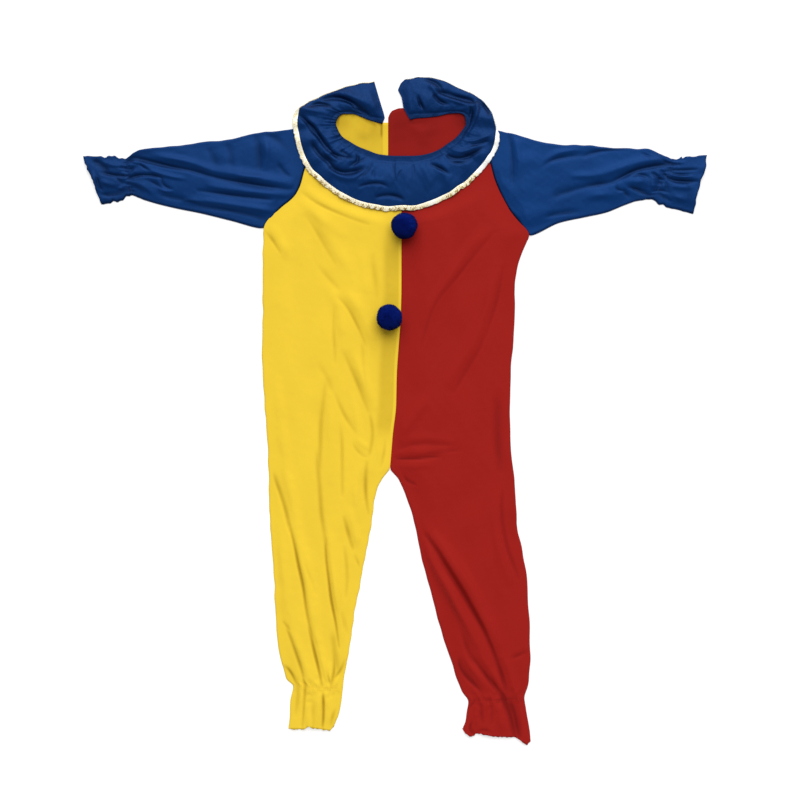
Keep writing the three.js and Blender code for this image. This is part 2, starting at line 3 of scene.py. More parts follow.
import bmesh
import bpy
import numpy as np
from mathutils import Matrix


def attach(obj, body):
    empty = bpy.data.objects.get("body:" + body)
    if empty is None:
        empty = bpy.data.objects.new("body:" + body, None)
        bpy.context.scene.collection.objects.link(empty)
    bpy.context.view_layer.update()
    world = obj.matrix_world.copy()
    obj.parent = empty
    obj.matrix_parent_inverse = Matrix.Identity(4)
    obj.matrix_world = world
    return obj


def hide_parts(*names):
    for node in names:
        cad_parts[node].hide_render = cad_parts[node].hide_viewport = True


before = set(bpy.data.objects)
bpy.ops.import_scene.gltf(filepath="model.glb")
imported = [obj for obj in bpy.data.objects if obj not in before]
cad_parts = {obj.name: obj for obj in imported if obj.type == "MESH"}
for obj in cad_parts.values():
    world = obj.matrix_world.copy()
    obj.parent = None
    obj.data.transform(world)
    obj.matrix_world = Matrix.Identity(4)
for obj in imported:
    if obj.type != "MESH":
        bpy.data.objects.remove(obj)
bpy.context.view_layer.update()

# All tables are in millimetres. +X is the red half, +Y the neck, +Z up from the surface.
mm = 0.001
thick = 0.8          # one layer of cloth
upperLevel = 1.5     # underside of the upper layer at its seams
lowerLevel = 0.15    # underside of a sleeve's lower layer
backLevel = 0.2      # underside of the back panels
print("frame loaded")


def table(names, rows):
    # named columns; a row that leaves its last number out repeats the one before it
    full = [row + row[-1:] * (len(names) - len(row)) for row in rows]
    return dict(zip(names, np.array(full, float).T))


def rowsOf(columns, names):
    return zip(*(columns[name] for name in names))


def mix(a, b, t):
    return a + (b - a) * t


def eased(t):
    t = np.clip(t, 0, 1)
    return t * t * (3 - 2 * t)


def hill(distance, width):
    # 1 in the middle, and falling away softly on both sides
    return np.exp(-((distance / width) ** 2))


def aboveZero(height, soft=0.5):
    # keeps a height from going below zero, with a soft turn
    return (height + np.sqrt(height * height + soft * soft)) / 2


def through(places, values, at):
    # smooth curve through values that doesn't overshoot them
    gaps = np.diff(places)
    slopes = np.diff(values) / gaps
    tangents = np.zeros(len(values))
    tangents[0], tangents[-1] = slopes[0], slopes[-1]
    before, after = slopes[:-1], slopes[1:]
    near, far = 2 * gaps[1:] + gaps[:-1], gaps[1:] + 2 * gaps[:-1]
    same = before * after > 0
    tangents[1:-1][same] = (near + far)[same] / (near[same] / before[same] + far[same] / after[same])
    i = np.clip(np.searchsorted(places, at, side="right") - 1, 0, len(gaps) - 1)
    h, t = gaps[i], (at - places[i]) / gaps[i]
    return ((1 + 2 * t) * (1 - t) ** 2 * values[i] + t * (1 - t) ** 2 * h * tangents[i]
            + t * t * (3 - 2 * t) * values[i + 1] + t * t * (t - 1) * h * tangents[i + 1])


def ripple(x, y, wave, seed):
    # uneven soft field of about one wavelength
    draw = np.random.default_rng(seed)
    angles = draw.uniform(0, 2 * np.pi, 9)
    lengths = wave * draw.uniform(0.7, 1.5, 9)
    phases = draw.uniform(0, 2 * np.pi, 9)
    total = 0
    for angle, length, phase in zip(angles, lengths, phases):
        total = total + np.sin(2 * np.pi * (x * np.cos(angle) + y * np.sin(angle)) / length + phase)
    return total / 3


def rippleAlong(run, wave, seed):
    # the same along one line only
    return ripple(run, 0, wave, seed)


def uneven(x, y, waves, seed):
    # ripples on each other: height, wavelength, and how much x and y count in each
    return sum(height * ripple(x * byX, y * byY, wave, seed + k)
               for k, (height, wave, byX, byY) in enumerate(waves))


def fromSegment(x, y, startX, startY, endX, endY):
    # for each point: how far along a straight piece it lies, 0 to 1, and its offset from there
    dx, dy = endX - startX, endY - startY
    along = np.clip(((x - startX) * dx + (y - startY) * dy) / (dx * dx + dy * dy), 0, 1)
    return along, x - startX - along * dx, y - startY - along * dy


def distanceTo(x, y, lineX, lineY):
    # distance from each point to a line through some points
    best = np.full(x.shape, 1e9)
    for piece in zip(lineX[:-1], lineY[:-1], lineX[1:], lineY[1:]):
        _, offX, offY = fromSegment(x, y, *piece)
        best = np.minimum(best, np.hypot(offX, offY))
    return best


foldColumns = ["startX", "startY", "midX", "midY", "endX", "endY", "rise", "left", "right"]
fold = {
    "wander": 0.9,        # how far a fold strays from its curve
    "wanderWave": 90,
    "pieces": 12,         # straight pieces that its curve is measured by
    "lean": 0.15,         # how much steeper the side that faces down is
    "blackDepth": 2.9,    # depth at which a trough would lose all its light
    "darkest": 0.95,
}


def creases(x, y, folds):
    # Soft ridges (rise above 0) and troughs (below 0), each along a curve through three points,
    # with a half width on each side of it. Gives the height and the light lost in the troughs.
    px = x + fold["wander"] * ripple(x, y, fold["wanderWave"], 101)
    py = y + fold["wander"] * ripple(x, y, fold["wanderWave"], 102)
    height, lost = np.zeros_like(x), np.zeros_like(x)
    t = np.linspace(0, 1, fold["pieces"] + 1)
    for sx, sy, mx, my, ex, ey, rise, left, right in rowsOf(folds, foldColumns):
        reach = 3 * max(left, right)
        inside = ((px > min(sx, mx, ex) - reach) & (px < max(sx, mx, ex) + reach)
                  & (py > min(sy, my, ey) - reach) & (py < max(sy, my, ey) + reach))
        if not inside.any():
            continue
        qx, qy = px[inside], py[inside]
        best = np.full(qx.shape, 1e9)
        share, drop, side = np.zeros((3, len(qx)))
        cx, cy = 2 * mx - (sx + ex) / 2, 2 * my - (sy + ey) / 2
        curveX = (1 - t) ** 2 * sx + 2 * t * (1 - t) * cx + t * t * ex
        curveY = (1 - t) ** 2 * sy + 2 * t * (1 - t) * cy + t * t * ey
        for k in range(fold["pieces"]):
            along, ox, oy = fromSegment(qx, qy, curveX[k], curveY[k], curveX[k + 1], curveY[k + 1])
            dx, dy = curveX[k + 1] - curveX[k], curveY[k + 1] - curveY[k]
            away = np.hypot(ox, oy)
            nearer = away < best
            reached = np.maximum(away, 0.01)
            best = np.where(nearer, away, best)
            share = np.where(nearer, (k + along) / fold["pieces"], share)
            drop = np.where(nearer, oy / reached, drop)
            side = np.where(nearer, (dx * oy - dy * ox) / np.hypot(dx, dy) / reached, side)
        half = mix(right, left, 0.5 + 0.5 * side) * (1 + fold["lean"] * drop)
        taper = np.sin(np.pi * (0.04 + 0.92 * share)) ** 0.6
        strength = taper * (1 + 0.14 * np.sin(share * 9 + sx))
        height[inside] += rise * strength * hill(best, half)
        if rise < 0:
            dark = min((-rise / fold["blackDepth"]) ** 1.3, fold["darkest"])
            lost[inside] = np.maximum(lost[inside], dark * strength * hill(best, 0.62 * half + 0.6))
    return height, lost


gatherColumns = ["place", "spread", "rise", "up", "down", "drift"]


def gathered(across, above, gathers, size=1):
    # Short ridges that an elastic draws in. Each runs up and down from it for its own length in
    # mm, and drifts sideways as it goes up. above is the distance from the elastic in mm.
    height = np.zeros_like(across)
    for place, spread, rise, up, down, drift in rowsOf(gathers, gatherColumns):
        far = np.where(above > 0, above / up, -above / down)
        centre = place + drift * np.clip(above / up, -0.5, 1) + 0.008 * np.sin(above / 5 + place * 50)
        ridge = hill(across - centre, spread * (1 + 0.5 * np.clip(far, 0, 1)))
        height += size * rise * ridge * eased(1 - far) * mix(0.85, 1, eased(np.abs(above) / 6))
    return height


fluteColumns = ["place", "spread", "rise"]


def fluted(across, below, flutes):
    # wide folds of a frill that open towards its hem
    height = np.zeros_like(across)
    for place, spread, rise in rowsOf(flutes, fluteColumns):
        height += rise * hill(across - place, spread) * eased(below * 1.1)
    return height


def rowPlaces(sections, a, b):
    # how far along a panel each of its rows lies, 0 to 1, and the whole length
    steps = np.maximum(np.hypot(np.diff(sections[a + "X"]), np.diff(sections[a + "Y"])),
                       np.hypot(np.diff(sections[b + "X"]), np.diff(sections[b + "Y"])))
    run = np.concatenate([[0], np.cumsum(steps)])
    return run / run[-1], run[-1]


def addObject(name, data):
    thing = bpy.data.objects.new(name, data)
    bpy.context.scene.collection.objects.link(thing)
    return thing


def dress(piece, material):
    # what every visible piece gets
    piece.data.shade_smooth()
    piece.data.materials.append(material)
    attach(piece, "root")
    print("made", piece.name, len(piece.data.polygons))


def clothSheet(name, sheet, place, material, node, flip=False):
    # a grid bent by place(u, v), which gives x, y, z and a colour value: the cloth's painted shade, or the
    # braid's gold
    mesh = bpy.data.meshes.new(name)
    grid = bmesh.new()
    bmesh.ops.create_grid(grid, x_segments=sheet["across"], y_segments=sheet["along"], size=0.5)
    grid.to_mesh(mesh)
    grid.free()
    flat = np.empty(len(mesh.vertices) * 3)
    mesh.vertices.foreach_get("co", flat)
    u, v = np.clip(flat.reshape(-1, 3)[:, :2].T + 0.5, 0, 1)
    u = u - sheet["tighter"] * np.sin(2 * np.pi * u) / (2 * np.pi)   # closer columns at the edges
    x, y, z, deep = place(u, v)
    mesh.vertices.foreach_set("co", (np.stack([x, y, z], axis=1) * mm).ravel().astype(np.float32))
    corners = np.empty(len(mesh.loops), np.int32)
    mesh.loops.foreach_get("vertex_index", corners)
    weave = np.stack([u * (np.ptp(x) + np.ptp(z)), v * np.ptp(y)], axis=1) * mm
    mesh.uv_layers.new(name="weave").data.foreach_set("uv", weave[corners].ravel().astype(np.float32))
    shade = mesh.attributes.new("deep", "FLOAT", "POINT")
    shade.data.foreach_set("value", np.clip(deep, 0, 1).astype(np.float32))
    if flip:
        mesh.flip_normals()
    mesh.update()
    piece = addObject(name, mesh)
    shell = piece.modifiers.new("shell", "SOLIDIFY")
    shell.thickness = sheet["wall"] * mm
    shell.offset = -1
    dress(piece, material)
    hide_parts(node)
    return piece


def manyOf(name, shape, spots, turns, scales, material):
    # one joined mesh of many small copies of a shape, each with its own spot, turn and scale
    shape.verts.index_update()
    points = np.array([v.co for v in shape.verts])
    corners = np.array([v.index for f in shape.faces for v in f.verts])
    counts = np.tile([len(f.verts) for f in shape.faces], len(spots))
    shape.free()
    placed = np.einsum("nij,nvj->nvi", turns, points * scales[:, None, :]) + spots[:, None, :]
    loops = (corners + len(points) * np.arange(len(spots))[:, None]).ravel()
    mesh = bpy.data.meshes.new(name)
    mesh.vertices.add(len(points) * len(spots))
    mesh.vertices.foreach_set("co", (placed.reshape(-1, 3) * mm).ravel().astype(np.float32))
    mesh.loops.add(len(loops))
    mesh.loops.foreach_set("vertex_index", loops.astype(np.int32))
    mesh.polygons.add(len(counts))
    mesh.polygons.foreach_set("loop_start", (np.cumsum(counts) - counts).astype(np.int32))
    mesh.update(calc_edges=True)
    piece = addObject(name, mesh)
    dress(piece, material)
    return piece


def addNode(material, kind, values):
    # values gives some of the node's inputs, by name or number
    node = material.node_tree.nodes.new("ShaderNode" + kind)
    for key, value in values.items():
        node.inputs[key].default_value = value
    return node


def addMixer(material, low, high):
    # turns from one colour to another, which are its inputs 6 and 7
    mixer = addNode(material, "Mix", {6: (*low, 1), 7: (*high, 1)})
    mixer.data_type = "RGBA"
    return mixer


def plainMaterial(name, colour, rough, shine=0.15):
    material = bpy.data.materials.new(name)
    material.use_nodes = True
    shader = material.node_tree.nodes["Principled BSDF"]
    shader.inputs["Base Color"].default_value = (*colour, 1)
    shader.inputs["Roughness"].default_value = rough
    shader.inputs["Specular IOR Level"].default_value = shine
    return material


knit = {
    "clouds": 22,              # soft patches for each metre
    "cloudShade": 0.08,        # how far they turn the colour to its deeper shade
    "wales": (1500, 480, 1),   # fine ribs for each metre, across and along
    "waleHeight": 0.0003,
    "waleStrength": 0.45,
}


def clothMaterial(name, colour, shade, gloss, rough=0.6, shine=0.3):
    # knitted cloth: a colour that turns to a deeper one where shade is painted, in the folds, seams and
    # neck opening, with soft random patches, fine wales and a soft shine in the cloth's own hue
    material = plainMaterial(name, colour, rough, shine)
    link = material.node_tree.links.new
    shader = material.node_tree.nodes["Principled BSDF"]
    shader.inputs["Specular Tint"].default_value = (*gloss, 1)
    place = addNode(material, "TexCoord", {})
    depth = addNode(material, "Attribute", {})
    depth.attribute_name = "deep"
    cloudy = addNode(material, "TexNoise", {"Scale": knit["clouds"], "Detail": 3})
    link(place.outputs["Object"], cloudy.inputs["Vector"])
    patch = addNode(material, "MapRange", {"From Min": 0.3, "From Max": 0.7, "To Max": knit["cloudShade"]})
    link(cloudy.outputs["Fac"], patch.inputs["Value"])
    amount = addNode(material, "Math", {})
    amount.operation = "ADD"
    link(depth.outputs["Fac"], amount.inputs[0])
    link(patch.outputs["Result"], amount.inputs[1])
    blend = addMixer(material, colour, shade)
    link(amount.outputs["Value"], blend.inputs[0])
    link(blend.outputs[2], shader.inputs["Base Color"])
    stretch = addNode(material, "Mapping", {"Scale": knit["wales"]})
    link(place.outputs["UV"], stretch.inputs["Vector"])
    wales = addNode(material, "TexNoise", {"Scale": 1, "Detail": 2})
    link(stretch.outputs["Vector"], wales.inputs["Vector"])
    relief = addNode(material, "Bump", {"Strength": knit["waleStrength"], "Distance": knit["waleHeight"]})
    link(wales.outputs["Fac"], relief.inputs["Height"])
    link(relief.outputs["Normal"], shader.inputs["Normal"])
    return material


# each cloth: its colour, the deeper colour it turns to where shade is painted, and the hue of its shine
yellow = clothMaterial("yellow_knit", (0.86, 0.59, 0.042), (0.40, 0.25, 0.012), (1, 0.75, 0.15), shine=0.15)
red = clothMaterial("red_knit", (0.315, 0.012, 0.0095), (0.17, 0.006, 0.006), (1, 0.2, 0.15), shine=0.25)
blue = clothMaterial("blue_knit", (0.002, 0.0265, 0.122), (0.0005, 0.0055, 0.03), (0.1, 0.32, 1),
                     rough=0.45, shine=0.55)
print("cloth colours made")


# The two fronts, one row for each section from the neckline to the ankle hem. The outer end
# follows the raglan seam, the side and the outer leg, the inner end the centre seam and leg.
sectionColumns = ["outerX", "outerY", "innerX", "innerY", "sag"]
yellowSections = table(sectionColumns, [
    [-98, 418, 9, 379, 10],      # neckline
    [-125, 388, 9, 356, 9],
    [-135, 366, 9, 338, 7],
    [-142, 341, 9, 320, 5],
    [-149, 325, 9, 308, 3],
    [-173, 304, 9, 293, 1],
    [-197, 275, 9, 275, 0],      # armpit
    [-197, 257, 9, 257, 0],
    [-198, 235, 9, 235, 0],
    [-198, 190, 9, 190, 0],
    [-198, 145, 8, 145, 0],
    [-199, 100, 5, 100, 0],
    [-198, 55, 2, 55, 0],
    [-195, 10, 1, 10, 0],
    [-192, -35, -4, -35, 0],
    [-190, -82, -8, -82, 0],     # crotch
    [-189, -103, -22, -103, 0],
    [-189, -125, -31, -125, 0],
    [-187, -170, -37, -170, 0],
    [-184, -215, -46, -215, 0],
    [-180, -260, -54, -260, 0],
    [-179, -305, -63, -305, 0],
    [-176, -350, -69, -350, 0],
    [-169, -380, -74, -378, 0],
    [-163, -400, -78, -398, 0],
    [-153, -412, -80, -416, 0],  # elastic
    [-156, -432, -82, -434, 0],
    [-158, -455, -86, -455, 0],
    [-160, -476, -93, -473, 0],  # hem
])
redSections = table(sectionColumns, [
    [112, 418, 9, 379, 8],      # neckline
    [127, 398, 9, 360, 8],
    [140, 377, 9, 343, 6],
    [149, 347, 9, 323, 4],
    [169, 305, 9, 300, 1],
    [184, 286, 9, 284, 0],
    [200, 264, 9, 268, 0],      # armpit
    [196, 254, 9, 255, 0],
    [188, 235, 9, 235, 0],
    [181, 212, 9, 212, 0],
    [179, 190, 9, 190, 0],
    [178, 145, 8, 145, 0],
    [175, 100, 5, 100, 0],
    [172, 55, 2, 55, 0],
    [170, 10, 1, 10, 0],
    [171, -35, -4, -35, 0],
    [175, -82, -8, -82, 0],     # crotch
    [178, -103, 6, -103, 0],
    [179, -125, 16, -125, 0],
    [182, -170, 30, -170, 0],
    [190, -215, 39, -215, 0],
    [197, -260, 51, -260, 0],
    [199, -305, 63, -305, 0],
    [201, -350, 76, -350, 0],
    [202, -373, 84, -373, 0],
    [200, -395, 91, -397, 0],
    [197, -414, 100, -419, 0],
    [193, -430, 110, -435, 0],  # elastic
    [195, -445, 108, -449, 0],
    [199, -466, 105, -466, 0],
    [202, -497, 101, -480, 0],  # hem
])
yellowFolds = table(foldColumns, [
    [-141, 331, -104, 305, -40, 281, -1.4, 3],          # from the raglan seam to the centre
    [-138, 341, -98, 318, -36, 292, 3.2, 9],
    [-141, 316, -110, 288, -78, 264, 2.2, 9],
    [-134, 291, -112, 258, -90, 222, -0.9, 3],
    [-120, 296, -96, 254, -72, 216, 2.2, 9],
    [-197, 273, -184, 256, -172, 237, -1.4, 2.4],       # armpit
    [-188, 276, -173, 254, -160, 232, 2, 8],
    [-115, 219, -98, 198, -85, 183, -0.8, 4],
    [-85, 169, -62, 140, -46, 100, -1.6, 2.4],          # long diagonal to the hip
    [-76, 178, -50, 146, -34, 104, 3.2, 9],
    [-100, 182, -80, 142, -66, 96, 2, 8],
    [-92, 151, -91, 112, -90, 70, -1.1, 3.2],
    [-82, 140, -78, 112, -76, 84, 1.6, 6],
    [-34, 232, -31, 200, -28, 170, -0.8, 5],
    [-50, 240, -46, 206, -44, 176, 1.6, 8],
    [-78, 89, -58, 42, -40, 0, -1.3, 3.6],              # to the crotch
    [-66, 92, -48, 48, -32, 8, 2.4, 7],
    [-50, 102, -48, 66, -42, 32, -0.8, 3.6],
    [-38, -6, -35, -36, -38, -67, -1.3, 2.8],
    [-112, 67, -101, 48, -94, 28, -0.8, 5],
    [-104, 41, -112, -30, -116, -106, -1.3, 3.6],       # hip to knee
    [-96, 22, -97, -40, -99, -104, 2.2, 7],
    [-91, 27, -76, -6, -60, -31, -1.2, 3.4],
    [-83, -24, -80, -74, -79, -126, -1.2, 3.2],
    [-66, 28, -58, -10, -52, -56, 1.8, 6],
    [-64, -48, -53, -62, -40, -69, -0.9, 2.4],
    [-60, -40, -48, -50, -38, -56, 0.8, 4],
    [-30, -30, -26, -54, -28, -76, 0.8, 4],
    [-16, -44, -17, -64, -22, -86, -1, 2.6],
    [-41, -78, -44, -112, -42, -152, -1.7, 3.2],        # inner leg
    [-54, -84, -58, -120, -56, -160, 1.8, 6],
    [-176, 42, -170, -30, -160, -98, 2.2, 8],
    [-182, -94, -170, -130, -158, -180, -1.9, 4, 3.4],  # outer long crease of the leg
    [-160, -170, -143, -240, -126, -338, -2.7, 2],
    [-164, -86, -154, -130, -146, -180, 2.4, 7],
    [-150, -178, -134, -246, -118, -340, 3.2, 9, 5],
    [-172, -182, -168, -240, -160, -306, 1.8, 8],
    [-118, -66, -113, -130, -104, -202, -1.5, 3.8],     # inner long crease of the leg
    [-105, -192, -99, -262, -84, -352, -2.7, 1.9],
    [-98, -190, -91, -258, -78, -340, 2.8, 7, 4],
    [-77, -157, -71, -184, -63, -207, -1.6, 3.2],
    [-68, -148, -62, -178, -56, -200, 1.8, 5],
    [-76, -205, -72, -240, -74, -277, -1, 3.4],
    [-60, -217, -56, -226, -53, -233, -1, 2.4],
    [-84, -290, -78, -316, -72, -332, -0.9, 5],
    [-141, -212, -130, -242, -120, -271, -0.7, 3],
    [-168, -314, -163, -320, -157, -327, -1.2, 2.2],
    [-129, -326, -121, -366, -109, -412, -2.8, 2.1],
    [-119, -330, -112, -364, -102, -400, 2.4, 6, 4],
    [-162, -324, -150, -362, -138, -408, -1.9, 2.6],
    [-152, -330, -142, -364, -130, -402, 2, 6],
    [-139, -404, -136, -425, -139, -473, -1.6, 2.2],
    [-107, -424, -107, -446, -109, -474, -2.7, 1.9],    # frill
    [-166, -382, -158, -391, -149, -411, -2.4, 2.4],    # down to the elastic
    [-103, -388, -99, -402, -94, -416, -1, 2],
    [-92, -358, -91, -386, -95, -412, -1.7, 2.2],
    [-92, -399, -84, -390, -76, -372, -1.8, 2.8],
    [-94, -334, -90, -360, -84, -392, -1.2, 6],
    [-98, -376, -97, -392, -97, -408, 1.6, 3.2],
    [-90, -414, -86, -404, -82, -396, 1.8, 3.4],
    [-150, -402, -147, -425, -149, -454, -1.1, 3.6],
    [-144, -404, -142, -420, -143, -446, 1.4, 3.4],
    [-121, -434, -122, -452, -121, -471, -1, 5],
    [-131, -436, -131, -452, -131, -470, 1.4, 5],
    [-114, -424, -114, -444, -115, -470, 1.6, 3.6],
    [-135, -427, -129, -423, -123, -428, -0.8, 1.9],
    [-132, -436, -127, -433, -121, -436, -0.8, 1.9],
    [-90, -446, -95, -458, -97, -470, -1.3, 2.8],
    [-101, -426, -100, -444, -102, -466, 1.8, 4.2],
])
redFolds = table(foldColumns, [
    [147, 267, 104, 216, 72, 176, -0.9, 2.4],      # from the armhole to the centre
    [76, 181, 54, 146, 37, 94, -0.9, 2.6],
    [134, 268, 88, 214, 44, 136, 2.6, 11, 6],
    [161, 216, 150, 160, 130, 106, -0.9, 2.8],
    [132, 111, 112, 70, 87, 28, -0.9, 2.8],
    [150, 216, 130, 140, 82, 44, 2.8, 11, 7],
    [50, 23, 28, -8, 2, -44, 1.8, 9],
    [0, -69, 28, -71, 64, -66, -2.6, 1.9],         # across the crotch
    [2, -62, 34, -61, 84, -60, 1, 4],
    [44, -63, 68, -60, 96, -57, -1.1, 1.8],
    [4, -57, 40, -49, 90, -52, -1.1, 2],
    [2, -46, 40, -40, 84, -44, 0.8, 5],
    [2, -80, 26, -82, 58, -78, 0.9, 5],
    [11, -96, 18, -104, 29, -109, -1.9, 1.9],
    [158, -122, 165, -190, 184, -250, -1.4, 3],
    [148, -130, 155, -196, 172, -254, 2, 8],
    [66, -222, 92, -262, 120, -304, -1.6, 4.5, 2],
    [40, -200, 84, -278, 118, -346, 2.6, 9, 5],
    [62, -188, 118, -272, 152, -344, 3, 5, 12],
    [37, -200, 94, -293, 136, -376, 3.5, 10],
    [51, -182, 112, -279, 154, -364, 5, 15, 4],
    [175, -370, 187, -364, 197, -359, -1.5, 3],
    [152, 17, 154, -35, 157, -88, -1.5, 8],
    [46, -187, 106, -283, 142, -352, -2.2, 3],     # long crease of the leg
    [140, -346, 156, -386, 168, -424, -2.2, 3],
    [156, -422, 168, -446, 180, -488, -3.4, 5.2],  # down through the elastic to the hem
    [169, -436, 177, -452, 186, -488, -3, 5, 3.6],
    [164, -370, 174, -400, 183, -436, 2.6, 6],
    [187, -436, 192, -462, 197, -490, 2.4, 4],
    [96, -374, 104, -394, 127, -418, -2.8, 3.4],
    [104, -366, 116, -388, 136, -412, 2, 5],
    [98, -330, 107, -354, 118, -378, -1.2, 4],
    [116, -370, 136, -397, 160, -427, -2.2, 2.8],
    [128, -366, 146, -392, 166, -422, 1.8, 5],
    [142, -399, 150, -411, 161, -425, -1.4, 2],
    [108, -442, 114, -438, 118, -432, -1.2, 2.4],
    [128, -438, 127, -452, 129, -466, -1.2, 3],
    [141, -436, 143, -452, 142, -470, -0.8, 3],
    [119, -446, 119, -458, 121, -470, 1.2, 3.6],
    [152, -440, 156, -458, 164, -480, 1.8, 6],
    [121, -481, 131, -477, 143, -480, -1.2, 2],
    [104, -470, 101, -478, 110, -486, 2.4, 3.6],   # curled corner
    [113, -464, 111, -476, 119, -483, -2, 2.6],
])
yellowAnkle = table(gatherColumns, [
    [0.05, 0.03, 0.5, 14, 10, 0.02], [0.13, 0.026, 0.8, 30, 22, 0.05], [0.21, 0.022, 0.5, 12, 8, -0.02],
    [0.33, 0.03, 0.9, 34, 14, -0.06], [0.42, 0.022, 0.5, 10, 26, 0.02], [0.5, 0.03, 0.7, 22, 9, -0.03],
    [0.61, 0.024, 0.6, 15, 18, 0.03], [0.74, 0.028, 0.9, 38, 12, 0.08], [0.83, 0.022, 0.5, 12, 20, 0.02],
    [0.93, 0.026, 0.7, 24, 9, -0.02],
])
redAnkle = table(gatherColumns, [
    [0.04, 0.024, 0.5, 12, 9, 0.02], [0.11, 0.03, 0.9, 32, 14, 0.04], [0.2, 0.022, 0.5, 14, 24, -0.02],
    [0.31, 0.026, 0.7, 22, 10, 0.05], [0.4, 0.032, 0.9, 44, 12, 0.09], [0.49, 0.022, 0.5, 11, 18, -0.02],
    [0.57, 0.028, 0.8, 26, 9, 0.06], [0.67, 0.024, 0.6, 14, 22, 0.03], [0.78, 0.03, 0.9, 36, 11, 0.07],
    [0.87, 0.022, 0.5, 12, 16, -0.02], [0.95, 0.024, 0.6, 20, 8, 0.02],
])
yellowFlutes = table(fluteColumns, [[0.10, 0.09, 1.0], [0.46, 0.11, 1.2], [0.86, 0.10, 0.9]])
redFlutes = table(fluteColumns, [[0.12, 0.07, 1.2], [0.36, 0.12, 0.8], [0.62, 0.10, 1.0], [0.92, 0.06, 1.6]])
yellowHem = [(-160, -476), (-136, -476), (-132, -472), (-119, -475), (-98, -478), (-93, -472)]
redHem = [(100, -472), (104, -482), (114, -488), (121, -482), (148, -487), (180, -488), (197, -500),
          (203, -493)]

# The armpit, the crotch and the elastic are given as rows of the sections, counted from 0.
# allowance is how dark the seam allowance shows beside the centre seam.
yellowHalf = {"sections": yellowSections, "armpit": 6, "crotch": 15, "elastic": 25, "folds": yellowFolds,
              "gathers": yellowAnkle, "flutes": yellowFlutes, "hem": yellowHem, "allowance": 0.33, "seed": 21}
redHalf = {"sections": redSections, "armpit": 6, "crotch": 16, "elastic": 27, "folds": redFolds,
           "gathers": redAnkle, "flutes": redFlutes, "hem": redHem, "allowance": 0, "seed": 41}
front = {
    "across": 112, "along": 330, "tighter": 0.5,
    "wall": thick,
    "puff": 2.6, "puffFade": 42,              # how high it swells, and how far from its edges
    "crown": 0.9,                             # a little more in the middle
    "foldFade": 15,                           # folds start this far from the edges
    "waves": [(0.55, 70, 1, 0.35), (0.2, 30, 1, 0.5), (0.05, 12, 1, 1)],    # as uneven takes them
    "crumple": 0.5, "crumpleReach": 16,       # fine crumples by the elastic
    "roll": 0.55, "rollFrom": 2.6, "rollWidth": 1.5,    # ridge beside the centre seam
    "edge": 2.4, "overhang": 0.9, "turnDown": 1.7,      # edge turned down over the back panel
    "allowanceWidth": 32, "allowanceTop": 266, "allowanceEnd": -52,
    "dent": 15,                               # how far round a pompom its thread pulls the cloth in
}
# where the pompoms are sewn on, and the oval of cloth that lies under the collar
pompomSpots = {"top": (13, 276), "bottom": (-9, 140)}
collarOval = {"x": -2, "y": 415, "halfX": 162, "halfY": 120, "fadeFrom": 0.96, "fadeTo": 1.14}


def clearOfCollar(x, y):
    # 0 under the collar, where the cloth lies flat, and 1 clear of it
    reach = np.hypot((x - collarOval["x"]) / collarOval["halfX"], (y - collarOval["y"]) / collarOval["halfY"])
    return eased((reach - collarOval["fadeFrom"]) / (collarOval["fadeTo"] - collarOval["fadeFrom"]))


def pulledIn(x, y):
    # how far the thread of a pompom pulls the cloth down, 1 at the pompom
    near = np.zeros_like(x)
    for spotX, spotY in pompomSpots.values():
        near = np.maximum(near, np.exp(-((np.hypot(x - spotX, y - spotY) / front["dent"]) ** 4)))
    return near


def hemmed(x, y, u, below, ends, hem, waves):
    # moves the straight end of a panel to its hem's own line, which is a little uneven
    straight = mix(ends["outerY"][-1], ends["innerY"][-1], u)
    return y + (np.interp(x, *np.array(hem).T) - straight - waves) * eased(below) ** 2


